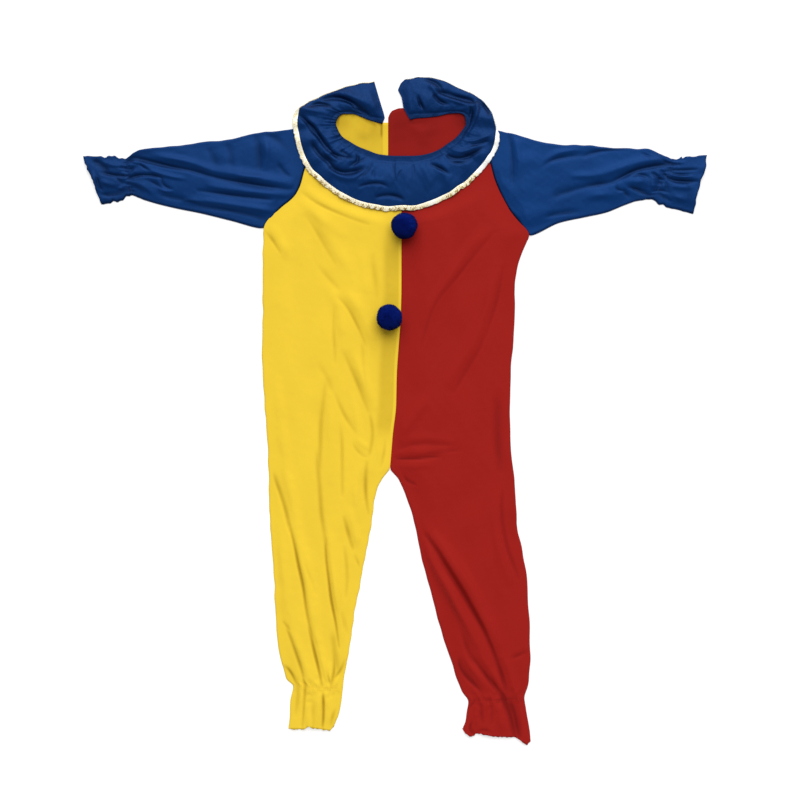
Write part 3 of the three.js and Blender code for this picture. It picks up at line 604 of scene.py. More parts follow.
def frontPlace(half):
    sections, seed = half["sections"], half["seed"]
    at, whole = rowPlaces(sections, "outer", "inner")
    armpit, crotch, elastic = at[half["armpit"]], at[half["crotch"]], at[half["elastic"]]
    outward = np.sign(sections["outerX"][0])

    def place(u, v):
        row = {name: through(at, sections[name], v) for name in sectionColumns}
        run = v * whole
        wobble = 0.35 * rippleAlong(run, 30, seed) + 0.5 * rippleAlong(run, 90, seed + 9)
        outerX = row["outerX"] + wobble * eased(v * 6)
        innerX = row["innerX"] + 0.35 * rippleAlong(run, 28, seed + 1) * eased((v - crotch) / 0.02)
        x = mix(outerX, innerX, u)
        y = mix(row["outerY"], row["innerY"], u) - 4 * row["sag"] * u * (1 - u)
        above, below = (elastic - v) * whole, (v - elastic) / (1 - elastic)
        y = hemmed(x, y, u, below, sections, half["hem"], 0.7 * ripple(x, y, 5, seed + 2))
        width = np.abs(innerX - outerX)
        outerEdge, innerEdge = u * width, (1 - u) * width
        edge = np.minimum(outerEdge, innerEdge)
        free = clearOfCollar(x, y) * (1 - pulledIn(x, y))
        tight = hill(above + 3 * rippleAlong(u * 200, 60, seed + 7), 6)
        crumple = front["crumple"] * hill(above, front["crumpleReach"])
        folded, lost = creases(x, y, half["folds"])
        relief = folded + uneven(x, y, front["waves"], seed + 3) + crumple * ripple(x, y, 11, seed + 6)
        swell = front["crown"] * np.sin(np.pi * np.clip(u, 0, 1)) ** 0.6
        puff = front["puff"] * eased(edge / front["puffFade"])
        lift = free * (swell + puff + relief * eased(edge / front["foldFade"]))
        lift = lift * (1 - 0.04 * tight) * (1 - 0.3 * eased(below))
        frill = gathered(u, above, half["gathers"]) + fluted(u, below, half["flutes"])
        lift = aboveZero(lift + frill * eased(edge / 3))
        roll = front["roll"] * hill(innerEdge - front["rollFrom"], front["rollWidth"])
        roll = roll * (1 - eased((v - crotch) / 0.01)) * free
        # at the sides and down the legs the edge turns down over the back panel
        side = eased((v - armpit) / 0.012) * np.clip(1 - outerEdge / front["edge"], 0, 1)
        leg = eased((v - crotch) / 0.012) * np.clip(1 - innerEdge / front["edge"], 0, 1)
        x = x + front["overhang"] * outward * (np.sin(side * np.pi / 2) - np.sin(leg * np.pi / 2))
        z = upperLevel + thick + lift + roll - front["turnDown"] * (side ** 2 + leg ** 2)
        # the seam allowance below shows through the thin cloth beside the centre seam
        allowance = eased((innerEdge - 3.4) / 2) * eased((front["allowanceWidth"] - innerEdge) / 12)
        allowance = allowance * eased((y - front["allowanceEnd"]) / 40)
        allowance = allowance * eased((front["allowanceTop"] - y) / 30)
        # painted shade in the fold troughs, and a little painted light on raised cloth
        deep = np.clip(lost * eased(edge / 3 + 0.3) - 0.05 * relief * free, 0, 0.9)
        return x, y, z, deep + half["allowance"] * allowance
    return place, {"armpit": armpit, "elastic": elastic}


yellowPlace, yellowMarks = frontPlace(yellowHalf)
redPlace, redMarks = frontPlace(redHalf)
yellowFront = clothSheet("romper_front_yellow", front, yellowPlace, yellow, "front_yellow",
                         flip=True)
redFront = clothSheet("romper_front_red", front, redPlace, red, "front_red")


# The backs lie on the surface. They have rows of their own down to the armpit, and the fronts'
# rows from there on, with a straight centre seam.
backTopColumns = ["outerX", "outerY", "innerY"]
yellowBackTop = table(backTopColumns, [
    [-92, 443, 427],
    [-98, 418, 405],
    [-125, 388, 375],
    [-142, 341, 335],
    [-173, 304, 300],
    [-198, 275, 273],
])
redBackTop = table(backTopColumns, [
    [110, 445, 439],
    [112, 418, 412],
    [127, 398, 390],
    [149, 347, 345],
    [184, 286, 288],
    [200, 264, 270],
])
yellowNeck = [(-92, 443), (-76, 454), (-56, 454), (-35, 443), (-20, 434), (-18.6, 433), (-11, 433)]
redNeck = [(-11, 440), (-9, 446), (-5, 451), (4, 454.5), (11, 455), (29, 451), (52, 454), (79, 457),
           (100, 455), (110, 445)]
yellowBackFolds = table(foldColumns, [
    [-182, 262, -130, 196, -52, 120, 0.5, 11],
    [-60, 330, -94, 262, -150, 214, 0.4, 9],
    [-34, 88, -92, 12, -166, -52, 0.5, 12],
    [-28, -58, -70, -32, -128, -30, 0.4, 9],
    [-152, -110, -128, -232, -112, -330, 0.5, 10],
    [-96, -150, -88, -262, -98, -372, 0.4, 8],
    [-176, -250, -158, -330, -140, -408, 0.4, 7],
])
redBackFolds = table(foldColumns, [
    [176, 250, 112, 210, 22, 190, 0.5, 12],
    [30, 330, 74, 270, 132, 238, 0.4, 9],
    [14, 60, 70, 18, 148, -6, 0.5, 11],
    [22, -70, 84, -100, 152, -92, 0.4, 10],
    [78, -170, 104, -262, 140, -352, 0.5, 10],
    [158, -212, 160, -300, 172, -388, 0.4, 8],
])
backAnkle = table(gatherColumns, [
    [0.08, 0.026, 0.7, 18, 10, 0.03], [0.19, 0.034, 1, 34, 16, -0.05], [0.3, 0.026, 0.7, 14, 24, 0.02],
    [0.43, 0.034, 1, 40, 12, 0.06], [0.56, 0.024, 0.6, 12, 18, -0.02], [0.68, 0.032, 0.9, 28, 10, 0.04],
    [0.8, 0.03, 0.8, 36, 14, -0.04], [0.92, 0.026, 0.6, 16, 9, 0.02],
])
# Folds of the back panel where it shows through the neck opening.
neckFolds = table(foldColumns, [
    [-74, 432, -56, 420, -30, 412, 1.6, 6],
    [-66, 446, -44, 432, -22, 424, 1.2, 5],
    [18, 430, 44, 420, 72, 428, 1.6, 6],
    [14, 446, 46, 440, 84, 446, 1.2, 5],
    [30, 408, 52, 404, 70, 410, 1.2, 5],
])
collarShadow = table(foldColumns, [
    [-20, 429, -40, 435, -62, 443, -3, 2.6],
    [-60, 443, -82, 446, -87, 428, -3, 2.6],
    [20, 435, 42, 438, 62, 440, -3, 2.6],
    [60, 440, 90, 448, 103, 428, -3, 2.6],
])
# shade is how much shade is painted in the neck opening
yellowBackHalf = {"top": yellowBackTop, "neck": yellowNeck, "folds": yellowBackFolds, "strip": 1,
                  "shade": 0.43, "seed": 61}
redBackHalf = {"top": redBackTop, "neck": redNeck, "folds": redBackFolds, "strip": 0,
               "shade": 0.52, "seed": 81}
back = {
    "across": 64, "along": 190, "tighter": 0.3,
    "wall": thick,
    "seamX": -11,                             # centre back seam
    "waves": [(0.12, 60, 1, 1), (0.05, 16, 1, 1)],
    "highest": 0.6,                           # its folds stay this low under the front
    "neckX": 5, "neckY": 425,                 # middle of the neck opening
    "stripWidth": 10, "stripFrom": 340, "slitFrom": 408,    # flat strip along the yellow half's seam
    # shade in the neck's two corners: how dark, x and its reach, y and its reach
    "corners": [(0.35, -82, 15, 436, 18), (0.6, 104, 17, 440, 16)],
}


def backPlace(half, own):
    top, seed, firstRow = own["top"], own["seed"], half["armpit"] + 1
    rows = {name: np.concatenate([top.get(name, 0 * top["outerX"]), half["sections"][name][firstRow:]])
            for name in sectionColumns}
    seamEnd = len(top["outerX"]) + half["crotch"] - firstRow
    rows["innerX"][:seamEnd] = back["seamX"]
    at, whole = rowPlaces(rows, "outer", "inner")
    elastic = at[seamEnd + half["elastic"] - half["crotch"]]

    def place(u, v):
        row = {name: through(at, rows[name], v) for name in sectionColumns}
        x, y = mix(row["outerX"], row["innerX"], u), mix(row["outerY"], row["innerY"], u)
        neckX = mix(rows["outerX"][0], rows["innerX"][0], u)
        neckLine = np.interp(neckX, *np.array(own["neck"]).T)
        y = y + (neckLine - mix(rows["outerY"][0], rows["innerY"][0], u)) * eased(1 - v / 0.09)
        above, below = (elastic - v) * whole, (v - elastic) / (1 - elastic)
        y = hemmed(x, y, u, below, rows, half["hem"], 0.7 * ripple(x, y, 6, seed))
        width = np.abs(row["innerX"] - row["outerX"])
        edge, seamSide = np.minimum(u, 1 - u) * width, (1 - u) * width
        low = creases(x, y, own["folds"])[0] + uneven(x, y, back["waves"], seed + 1)
        low = np.clip(aboveZero(low, 0.15), 0, back["highest"]) * eased(edge / 12)
        # the part that shows through the neck opening
        fromX, fromY = x - back["neckX"], y - back["neckY"]
        inNeck = eased((1 - np.hypot(fromX / 80, fromY / 36)) / 0.4)
        neckRise = (creases(x, y, neckFolds)[0] + 0.25 * ripple(x, y, 22, seed + 3)) * inNeck
        strip = eased((y - back["stripFrom"]) / 20) * own["strip"]
        stripTop = 0.7 * eased((back["stripWidth"] - 0.5 - seamSide) / 1.5)
        stripEdge = 0.5 * hill(seamSide - back["stripWidth"], 1.2)
        neckRise = neckRise * eased(seamSide / 12) + strip * (stripTop - stripEdge)
        tucks = gathered(u, above, backAnkle, 0.55) * eased(edge / 4)
        z = backLevel + thick + low + aboveZero(neckRise, 0.2) + tucks
        # painted shade in the neck opening, where the collar shades the back panel, and less of it on the
        # flat strip
        shade = own["shade"] * eased(1 - 0.5 * np.hypot(fromX / 95, fromY / 50))
        shade = shade * mix(1, 0.35, strip * eased((back["stripWidth"] - 1 - seamSide) / 1.5))
        # painted shadow in the slit at the top of the strip
        slitShadow = 0.8 * hill(seamSide - back["stripWidth"], 1.3) * eased((y - back["slitFrom"]) / 10) * strip
        corners = sum(dark * hill(x - cornerX, wideX) * hill(y - cornerY, wideY)
                      for dark, cornerX, wideX, cornerY, wideY in back["corners"])
        underCollar = creases(x, y, collarShadow)[1]
        # the colour value is all painted shade: in the neck opening, in the slit, in the neck's corners,
        # under the collar's inner edge, and where folds lift off the surface
        return x, y, z, shade + slitShadow + corners + underCollar + 0.8 * low
    return place


yellowBack = clothSheet("romper_back_yellow", back, backPlace(yellowHalf, yellowBackHalf), yellow,
                        "back_yellow", flip=True)
redBack = clothSheet("romper_back_red", back, backPlace(redHalf, redBackHalf), red, "back_red")


# The sleeves, one row for each section from the wrist hem to the neckline. The fold end is at
# the shoulder, the seam end follows the underarm and then the raglan seam.
sleeveColumns = ["foldX", "foldY", "seamX", "seamY", "hollow"]
leftSleeve = table(sleeveColumns, [
    [-467, 383, -442, 311, 2.6],  # hem
    [-448, 382, -433, 312, 2.6],
    [-425, 382, -413, 317, 2],
    [-407, 379, -397, 325, 1.2],  # elastic
    [-386, 391, -380, 319, 2.4],
    [-365, 395, -361, 313, 3.2],
    [-331, 397, -328, 305, 3.4],
    [-293, 403, -293, 298, 3.4],
    [-248, 408, -248, 287, 3.4],
    [-200, 418, -198, 275, 3],    # armpit
    [-173, 421, -173, 304, 1.6],
    [-145, 425, -149, 325, 0.3],
    [-131, 427, -142, 341, 0.3],
    [-118, 430, -135, 366, 0.3],
    [-104, 436, -125, 388, 0.3],
    [-92, 443, -98, 418, 0.3],    # neckline
])
rightSleeve = table(sleeveColumns, [
    [468, 384, 446, 297, 2.6],  # hem
    [451, 383, 427, 302, 2.6],
    [433, 382, 404, 308, 2],
    [419, 378, 383, 319, 1.2],  # elastic
    [398, 386, 362, 316, 2.4],
    [379, 394, 344, 310, 3.2],
    [340, 394, 316, 299, 3.4],
    [292, 398, 284, 292, 3.4],
    [247, 399, 247, 284, 3.4],
    [202, 409, 200, 264, 3],    # armpit
    [182, 415, 184, 286, 1.6],
    [164, 419, 169, 305, 0.3],
    [146, 424, 149, 347, 0.3],
    [133, 430, 140, 377, 0.3],
    [122, 436, 127, 398, 0.3],
    [110, 445, 112, 418, 0.3],  # neckline
])
leftFolds = table(foldColumns, [
    [-360, 384, -318, 375, -282, 362, 3.2, 5],     # long fold from the wrist to the raglan seam
    [-286, 363, -220, 352, -158, 342, 3.4, 7],
    [-398, 380, -348, 370, -292, 356, -3.4, 3.4, 3.6],
    [-300, 358, -230, 343, -158, 333, -2.4, 3.6, 5],
    [-281, 338, -233, 331, -155, 322, 3, 6, 5],
    [-296, 330, -233, 323, -185, 317, -2, 2.8, 3.6],
    [-314, 317, -240, 309, -183, 299, 2.8, 5],
    [-308, 308, -233, 298, -192, 287, -1.9, 3, 4],
    [-281, 396, -274, 378, -268, 362, -1.1, 6.5, 5],
    [-251, 400, -247, 380, -245, 362, -1.1, 6],
    [-208, 409, -205, 385, -205, 362, -1.6, 4, 6.5],
    [-197, 410, -194, 390, -195, 366, 1.6, 5],
    [-191, 412, -176, 403, -161, 391, -1.3, 6],
    [-176, 372, -168, 360, -158, 352, -1.3, 3],
    [-240, 352, -222, 350, -204, 351, 1.4, 3.4],
    [-386, 373, -378, 365, -368, 360, -1.5, 1.9],  # above the elastic
    [-394, 372, -381, 370, -372, 363, 1.6, 3.4, 2.4],
    [-370, 361, -345, 354, -316, 347, 2, 3.2],
    [-402, 348, -377, 353, -350, 350, -2.4, 2.6],
    [-351, 352, -347, 340, -335, 333, -1.8, 2.2],
    [-374, 346, -361, 341, -349, 334, -1.4, 3.4],
    [-400, 343, -383, 338, -365, 328, 2.4, 5, 3.6],
    [-354, 334, -345, 330, -334, 329, 1.4, 2],
    [-352, 325, -322, 318, -290, 312, -1.6, 4],
    [-318, 316, -304, 315, -288, 311, 1.3, 2.6],
    [-406, 378, -399, 375, -392, 376, -1.5, 2.4],
    [-407, 364, -399, 362, -392, 364, -1.3, 2.2],
    [-404, 369, -397, 368, -390, 367, 1.3, 2.2],
    [-404, 337, -399, 332, -392, 329, -1.6, 2.6],
    [-452, 377, -441, 368, -430, 360, -2.2, 6],    # frill
    [-439, 376, -424, 369, -409, 369, 1.8, 3.6],
    [-440, 358, -421, 354, -404, 352, -2.4, 2.8],
    [-420, 351, -414, 346, -410, 340, -1.6, 2],
    [-441, 345, -431, 341, -420, 339, 2, 4],
    [-447, 352, -446, 341, -441, 331, -2, 2.8],
    [-455, 362, -451, 347, -446, 331, 1.6, 2.6],
    [-441, 325, -425, 324, -406, 330, -1.8, 3.4],
    [-418, 337, -410, 334, -402, 335, 1.2, 2.4],
])
rightFolds = table(foldColumns, [
    [409, 371, 372, 364, 324, 346, -3.8, 4.2, 3.4],  # long fold from the wrist
    [330, 346, 304, 341, 270, 331, -2.2, 5],
    [276, 333, 250, 326, 236, 320, -1.6, 6],
    [397, 380, 349, 368, 300, 354, 3, 7, 6],
    [348, 345, 362, 344, 378, 341, 2.4, 6],
    [223, 367, 241, 379, 283, 382, -1.8, 4],
    [228, 376, 246, 388, 282, 392, 1.8, 5],
    [283, 382, 313, 391, 346, 392, -2, 3.6],
    [227, 292, 247, 296, 272, 298, -2, 4],
    [170, 415, 173, 385, 175, 340, -1.5, 3.4],
    [180, 410, 184, 380, 186, 344, 1.5, 5],
    [262, 352, 286, 352, 308, 356, 1.6, 5],
    [286, 318, 306, 324, 328, 326, 1.8, 6],
    [368, 387, 376, 383, 388, 380, -1.1, 2],
    [399, 380, 408, 372, 426, 369, -2, 2.4],         # through the elastic
    [404, 379, 414, 375, 430, 373, 1.2, 2],
    [409, 363, 426, 361, 453, 362, -1.6, 2.2],
    [410, 360, 421, 355, 441, 354, -1.6, 2],
    [410, 350, 424, 344, 453, 344, -3.4, 3.2],
    [414, 354, 428, 351, 444, 351, 1.5, 2.2],
    [416, 336, 428, 335, 446, 334, 1.8, 4.5],
    [386, 362, 393, 356, 400, 350, 1.7, 2],
    [383, 357, 391, 351, 399, 346, -1.6, 2],
    [397, 365, 403, 358, 407, 351, 1.3, 2],
    [399, 361, 405, 352, 412, 346, -1.8, 2],
    [391, 351, 396, 344, 397, 335, -1.4, 2],
    [403, 344, 406, 337, 407, 330, -1.3, 2],
    [354, 351, 366, 354, 379, 349, -2, 2.4],
    [349, 338, 364, 331, 384, 321, -3.2, 3.2],
    [385, 356, 385, 344, 385, 331, 2, 4.4],
    [387, 330, 398, 330, 409, 327, -1.6, 2.4],
    [393, 326, 402, 320, 413, 314, -1.6, 2.4],
    [330, 341, 333, 334, 342, 332, -1.9, 2],
    [341, 333, 345, 328, 350, 322, -2.3, 2.2],
    [439, 342, 441, 328, 439, 312, -1, 2.6],
    [418, 322, 426, 318, 436, 316, 1.4, 4],
])
leftUnder = table(foldColumns, [
    [-360, 372, -284, 352, -196, 348, 0.5, 8],
    [-330, 322, -262, 316, -206, 300, 0.4, 7],
    [-250, 388, -220, 372, -204, 344, 0.4, 6],
])
rightUnder = table(foldColumns, [
    [372, 368, 300, 360, 214, 330, 0.5, 8],
    [330, 312, 286, 318, 226, 296, 0.4, 7],
    [258, 390, 232, 380, 216, 356, 0.4, 6],
])
leftWrist = table(gatherColumns, [
    [0.07, 0.034, 0.7, 16, 10, 0.03], [0.18, 0.04, 1.1, 34, 14, -0.06], [0.3, 0.03, 0.7, 14, 22, 0.04],
    [0.41, 0.038, 1.2, 28, 9, 0.03], [0.52, 0.028, 0.6, 12, 18, -0.04], [0.63, 0.04, 1, 24, 12, 0.05],
    [0.75, 0.03, 0.7, 13, 24, 0.02], [0.86, 0.036, 0.9, 26, 8, -0.04], [0.95, 0.026, 0.6, 12, 12, 0],
])
rightWrist = table(gatherColumns, [
    [0.06, 0.03, 0.5, 14, 12, 0.02], [0.16, 0.038, 0.9, 30, 20, 0.05], [0.25, 0.026, 0.6, 12, 26, -0.03],
    [0.35, 0.03, 0.8, 20, 28, 0.03], [0.45, 0.04, 1.1, 38, 12, 0.08], [0.55, 0.028, 0.6, 13, 9, -0.03],
    [0.66, 0.038, 1, 26, 14, 0.04], [0.76, 0.028, 0.5, 12, 20, -0.02], [0.86, 0.034, 0.8, 24, 10, 0.03],
    [0.95, 0.028, 0.5, 14, 8, 0],
])
leftFlutes = table(fluteColumns, [[0.16, 0.12, 0.8], [0.50, 0.14, 1.2], [0.90, 0.10, 1.2]])
rightFlutes = table(fluteColumns, [[0.20, 0.08, 0.8], [0.42, 0.07, 0.9], [0.75, 0.16, 1.2]])
# shade is painted shade over the whole sleeve
leftSide = {"sections": leftSleeve, "folds": leftFolds, "under": leftUnder, "gathers": leftWrist,
            "flutes": leftFlutes, "shade": 0.2, "seed": 111}
rightSide = {"sections": rightSleeve, "folds": rightFolds, "under": rightUnder, "gathers": rightWrist,
             "flutes": rightFlutes, "shade": 0, "seed": 131}
sleeve = {
    "across": 128, "along": 190, "tighter": 0,
    "wall": 0.7,
    "elastic": 3, "armpit": 9,                # rows of the sections, counted from 0
    "lower": 0.16, "round": 0.08,             # shares of the grid under the sleeve and round its fold
    "puff": 2, "puffFade": 34,
    "foldFade": 11,
    "waves": [(0.45, 55, 0.4, 1), (0.2, 24, 0.6, 1), (0.06, 10, 1, 1)],
    "crumple": 0.6, "crumpleReach": 15,
    "edge": 2.4, "overhang": 0.9, "turnDown": 1.5,      # edge turned down at the underarm
    "ditch": 0.9, "ditchWidth": 1.6,          # the raglan seam pulls the cloth down
    # painted shadow in the raglan seam's ditch, painted shade where the underarm edge turns down, and darker
    # towards the wrist
    "seamShadow": 1.1, "seamShadowWidth": 2.9,
    "edgeShade": 0.5, "edgeShadeWidth": 3.4,
    "wristDark": 0.2, "wristReach": 46,
}


def sleevePlace(side):
    sections, seed = side["sections"], side["seed"]
    at, whole = rowPlaces(sections, "fold", "seam")
    elastic, armpit = at[sleeve["elastic"]], at[sleeve["armpit"]]
    raglan = np.linspace(armpit, 1, 30)
    raglanX, raglanY = through(at, sections["seamX"], raglan), through(at, sections["seamY"], raglan)
    roundFrom, roundTo = sleeve["lower"], sleeve["lower"] + sleeve["round"]
    base = upperLevel + thick

    def place(u, v):
        row = {name: through(at, sections[name], v) for name in sleeveColumns}
        length = np.hypot(row["seamX"] - row["foldX"], row["seamY"] - row["foldY"])
        alongX, alongY = (row["seamX"] - row["foldX"]) / length, (row["seamY"] - row["foldY"]) / length
        # u runs up the lower layer, round the fold at the shoulder and down the upper layer
        bend = row["hollow"] / 2 + 1.1
        turn = np.pi * np.clip((u - roundFrom) / sleeve["round"], 0, 1)
        w = np.clip((u - roundTo) / (1 - roundTo), 0, 1)
        onLower, onRound = u < roundFrom, (u >= roundFrom) & (u < roundTo)
        s = np.where(onRound, bend - bend * np.sin(turn), mix(bend, length, w))
        s = np.where(onLower, mix(length, bend, np.clip(u / roundFrom, 0, 1)), s)
        share = s / length
        edge = np.minimum(length - s, s)
        run, inside = v * whole, v > 0.01
        above, below = (v - elastic) * whole, 1 - v / elastic
        ragged = 3 * rippleAlong(share * 60, 24, seed + 1) + 0.8 * rippleAlong(share * 60, 7, seed + 2)
        ragged = 0.5 * ragged * eased(below) ** 2
        wander = 0.3 * rippleAlong(run, 22, seed) + 0.6 * rippleAlong(run, 70, seed + 9)
        crinkled = 1.3 * rippleAlong(run, 12, seed + 4) * hill(above + 14, 30) * inside * (1 - 2 * share)
        outward = np.sign(row["foldX"])
        x = row["foldX"] + alongX * (s + crinkled) + outward * np.abs(alongY) * ragged
        y = row["foldY"] + alongY * (s + crinkled) + outward * alongX * ragged + wander * (1 - share) * inside
        free = clearOfCollar(x, y)
        tight = hill(above, 5)
        crumple = sleeve["crumple"] * hill(above, sleeve["crumpleReach"])
        folded, lost = creases(x, y, side["folds"])
        relief = folded + uneven(x, y, sleeve["waves"], seed + 3) + crumple * ripple(x, y, 10, seed + 6)
        puff = sleeve["puff"] * eased(edge / sleeve["puffFade"]) * (1 - 0.5 * tight)
        lift = mix(2 * bend, base, w ** 0.7) - base
        lift = (lift + free * (puff + relief * eased(edge / sleeve["foldFade"]))) * (1 - 0.35 * tight)
        pleats = gathered(w, above, side["gathers"]) + fluted(w, below, side["flutes"])
        pleats = pleats * eased((length - s) / 3) * eased((w + 0.02) / 0.06)
        # the edge turns down at the underarm, and the raglan seam lies in a ditch
        down = eased((armpit - v) / 0.02) * np.clip(1 - (length - s) / sleeve["edge"], 0, 1)
        seamAway = distanceTo(x, y, raglanX, raglanY)
        ditch = sleeve["ditch"] * hill(seamAway, sleeve["ditchWidth"]) * eased((v - armpit) / 0.03)
        upperZ = base + aboveZero(lift + pleats) - sleeve["turnDown"] * down ** 2 - ditch
        low = creases(x, y, side["under"])[0] + 0.1 * ripple(x, y, 40, seed + 6)
        lowerZ = lowerLevel + np.clip(aboveZero(low, 0.15), 0, 0.6) * eased(edge / 10)
        lowerZ = lowerZ + gathered(share, above, side["gathers"], 0.35) * eased(edge / 5)
        roundTop = base + aboveZero((2 * bend - base) * (1 - 0.45 * tight))
        roundZ = mix(lowerLevel, roundTop, (1 - np.cos(turn)) / 2)
        z = np.where(onLower, lowerZ, np.where(onRound, roundZ, upperZ))
        x, y = x + alongX * sleeve["overhang"] * down, y + alongY * sleeve["overhang"] * down
        # painted shadow along the raglan seam and painted shade at the underarm edge; the side's shade value
        # paints shade over the whole sleeve; darker towards the wrist
        seamShadow = sleeve["seamShadow"] * hill(seamAway, sleeve["seamShadowWidth"])
        edgeShade = sleeve["edgeShade"] * hill(length - s, sleeve["edgeShadeWidth"])
        dark = seamShadow * eased((v - armpit + 0.03) / 0.03) + edgeShade * eased((armpit - v) / 0.02)
        dark = dark + sleeve["wristDark"] * eased((sleeve["wristReach"] - above) / 30) + side["shade"]
        # painted shade in the fold troughs, and a little painted light on raised cloth
        deep = np.clip(lost * eased(edge / 3 + 0.3) - 0.07 * relief * free, 0, 0.9) + dark
        # on the lower layer, painted shade where its folds lift off the surface; a little darker along the
        # elastic
        return x, y, z, np.where(onLower, 0.8 * (lowerZ - lowerLevel), deep) + 0.08 * tight
    return place, {"elastic": elastic}


leftPlace, leftMarks = sleevePlace(leftSide)
rightPlace, rightMarks = sleevePlace(rightSide)
sleeveLeft = clothSheet("romper_sleeve_left", sleeve, leftPlace, blue, "sleeve_left")
sleeveRight = clothSheet("romper_sleeve_right", sleeve, rightPlace, blue, "sleeve_right",
                         flip=True)


# The collar, one row for each section from one end at the centre back round to the other.
collarColumns = ["innerX", "innerY", "outerX", "outerY", "innerZ", "outerZ", "gather"]
collarSections = table(collarColumns, [
    [-22, 431, -31, 494, 1.8, 0.3, 0.6],
    [-35, 435, -56, 491, 1.8, 0.3, 0.8],
    [-50, 441, -82, 484, 1.8, 0.3, 0.9],
    [-65, 446, -110, 473, 2.2, 0.8, 1.4],
    [-77, 446, -131, 463, 3, 2, 2],
    [-86, 440, -145, 451, 3, 3, 2],
    [-89, 431, -148, 431, 3, 3, 2],
    [-86, 422, -145, 413, 3, 3, 2],
    [-80, 412, -139, 389, 3, 3, 1.9],
    [-68, 404, -127, 365, 3, 3, 1.8],
    [-56, 397, -107, 346, 3, 3, 1.6],
    [-41, 391, -80, 326, 3, 3, 1.4],
    [-23, 385, -50, 313, 3, 3, 1.2],
    [1, 383, -16, 307, 3, 3, 1.2],
    [22, 383, 22, 307, 3, 3, 1.2],
    [38, 384, 49, 313, 3, 3, 1.2],
    [53, 387.5, 76, 325, 3, 3, 1.4],
    [67, 393.5, 100, 340, 3, 3, 1.4],
    [77, 400.5, 121, 359, 3, 3, 1.6],
    [89, 409, 137, 379, 3, 3, 1.4],
    [98, 419, 148, 398, 3, 3, 1.2],
    [105, 431, 151, 419, 3, 3, 1.2],
    [103, 443, 146, 443, 3, 3, 1.2],
    [94, 447, 133, 463, 3, 2, 1.2],
    [79, 446, 115, 476, 2.2, 0.8, 1],
    [61, 442, 89, 488, 1.8, 0.3, 0.9],
    [44, 440, 62, 499, 1.8, 0.3, 0.8],
    [31, 439, 37, 501, 1.8, 0.3, 0.8],
    [22, 437, 13, 498, 1.8, 0.3, 0.6],
])
collarFolds = table(foldColumns, [
    [-110, 465, -78, 467, -42, 447, -5.5, 4],      # yellow side, back
    [-104, 474, -68, 473, -35, 457, 3, 7],
    [-129, 455, -112, 459, -94, 452, -3.2, 3],
    [-64, 457, -54, 451, -40, 445, -2.6, 2.4],
    [-141, 442, -122, 421, -101, 391, -6.5, 3.4],  # deep crease at the side
    [-133, 440, -114, 421, -96, 398, 2.4, 4],
    [-124, 402, -113, 384, -93, 369, -4.2, 3.4],
    [-101, 373, -80, 357, -48, 363, -5.4, 4],
    [-94, 365, -78, 350, -50, 350, 2.6, 5],
    [-103, 400, -93, 385, -79, 376, -3.2, 2.6],
    [-58, 386, -57, 375, -67, 367, -2.6, 2.4],
    [-84, 394, -76, 386, -64, 381, -2, 2.4],
    [-36, 372, -46, 356, -60, 346, -1.5, 2.6],
    [-54, 336, -32, 340, -13, 336, -2.6, 1.9, 2.2],
    [-44, 343, -30, 346, -14, 342, 1, 3.6],
    [-30, 319, -6, 322, 12, 317, -2.8, 2.6, 3.4],
    [-94, 386, -80, 381, -62, 378, -2.4, 1.9],
    [-110, 392, -102, 380, -88, 372, -1.8, 2],
    [-66, 372, -54, 374, -42, 382, -1.3, 1.9],
    [-28, 366, -34, 356, -32, 348, -0.9, 1.9],
    [-1, 378, -2, 362, 1, 344, -1.1, 1.7],
    [12, 362, 7, 357, 5, 350, -1, 1.7],
    [25, 373, 28, 362, 27, 349, -0.7, 2.2],
    [34, 470, 37, 460, 43, 451, -3.2, 2.6],        # red side, back
    [64, 479, 90, 471, 120, 463, -5.6, 3.6],
    [72, 472, 90, 464, 110, 460, 2.4, 3],
    [58, 474, 66, 464, 78, 460, -4, 3],
    [43, 498, 58, 493, 69, 483, -3, 3],
    [50, 487, 58, 482, 62, 474, 2, 4],
    [119, 464, 121, 444, 104, 412, 3.2, 2.4, 4],
    [112, 458, 112, 440, 99, 416, -3, 3],
    [108, 405, 124, 406, 141, 413, 2.2, 2.6],
    [112, 398, 124, 399, 138, 404, -2, 2.4],
    [76, 385, 100, 378, 130, 392, -4.4, 3.6],
    [80, 377, 96, 371, 114, 377, -2.2, 2.8],
    [84, 394, 104, 388, 124, 398, 2.4, 4],
    [53, 370, 65, 364, 79, 355, -3.2, 3],
    [122, 466, 134, 457, 141, 443, -2.8, 2.8],
])
# Wide soft waves at the outer edge: place and spread along the collar, height, lean.
waveColumns = ["place", "spread", "height", "lean"]
collarWaves = table(waveColumns, [
    [0.03, 0.013, 1.6, 0.004], [0.078, 0.018, 2.6, -0.006], [0.121, 0.014, 1.8, 0.008],
    [0.168, 0.019, 3, 0.004], [0.214, 0.015, 2.2, -0.008], [0.262, 0.02, 3.4, 0.006],
    [0.311, 0.014, 1.9, 0.01], [0.349, 0.017, 2.8, -0.004], [0.398, 0.021, 2, 0.006],
    [0.447, 0.015, 1.5, -0.008], [0.492, 0.02, 2.3, 0.004], [0.541, 0.016, 1.6, 0.008],
    [0.588, 0.019, 2.4, -0.006], [0.637, 0.015, 1.8, 0.006], [0.679, 0.02, 3, 0.008],
    [0.731, 0.016, 2.2, -0.006], [0.776, 0.018, 3.2, 0.004], [0.826, 0.015, 2, 0.008],
    [0.871, 0.019, 2.8, -0.004], [0.923, 0.017, 2.2, 0.006], [0.967, 0.013, 1.5, -0.004],
])
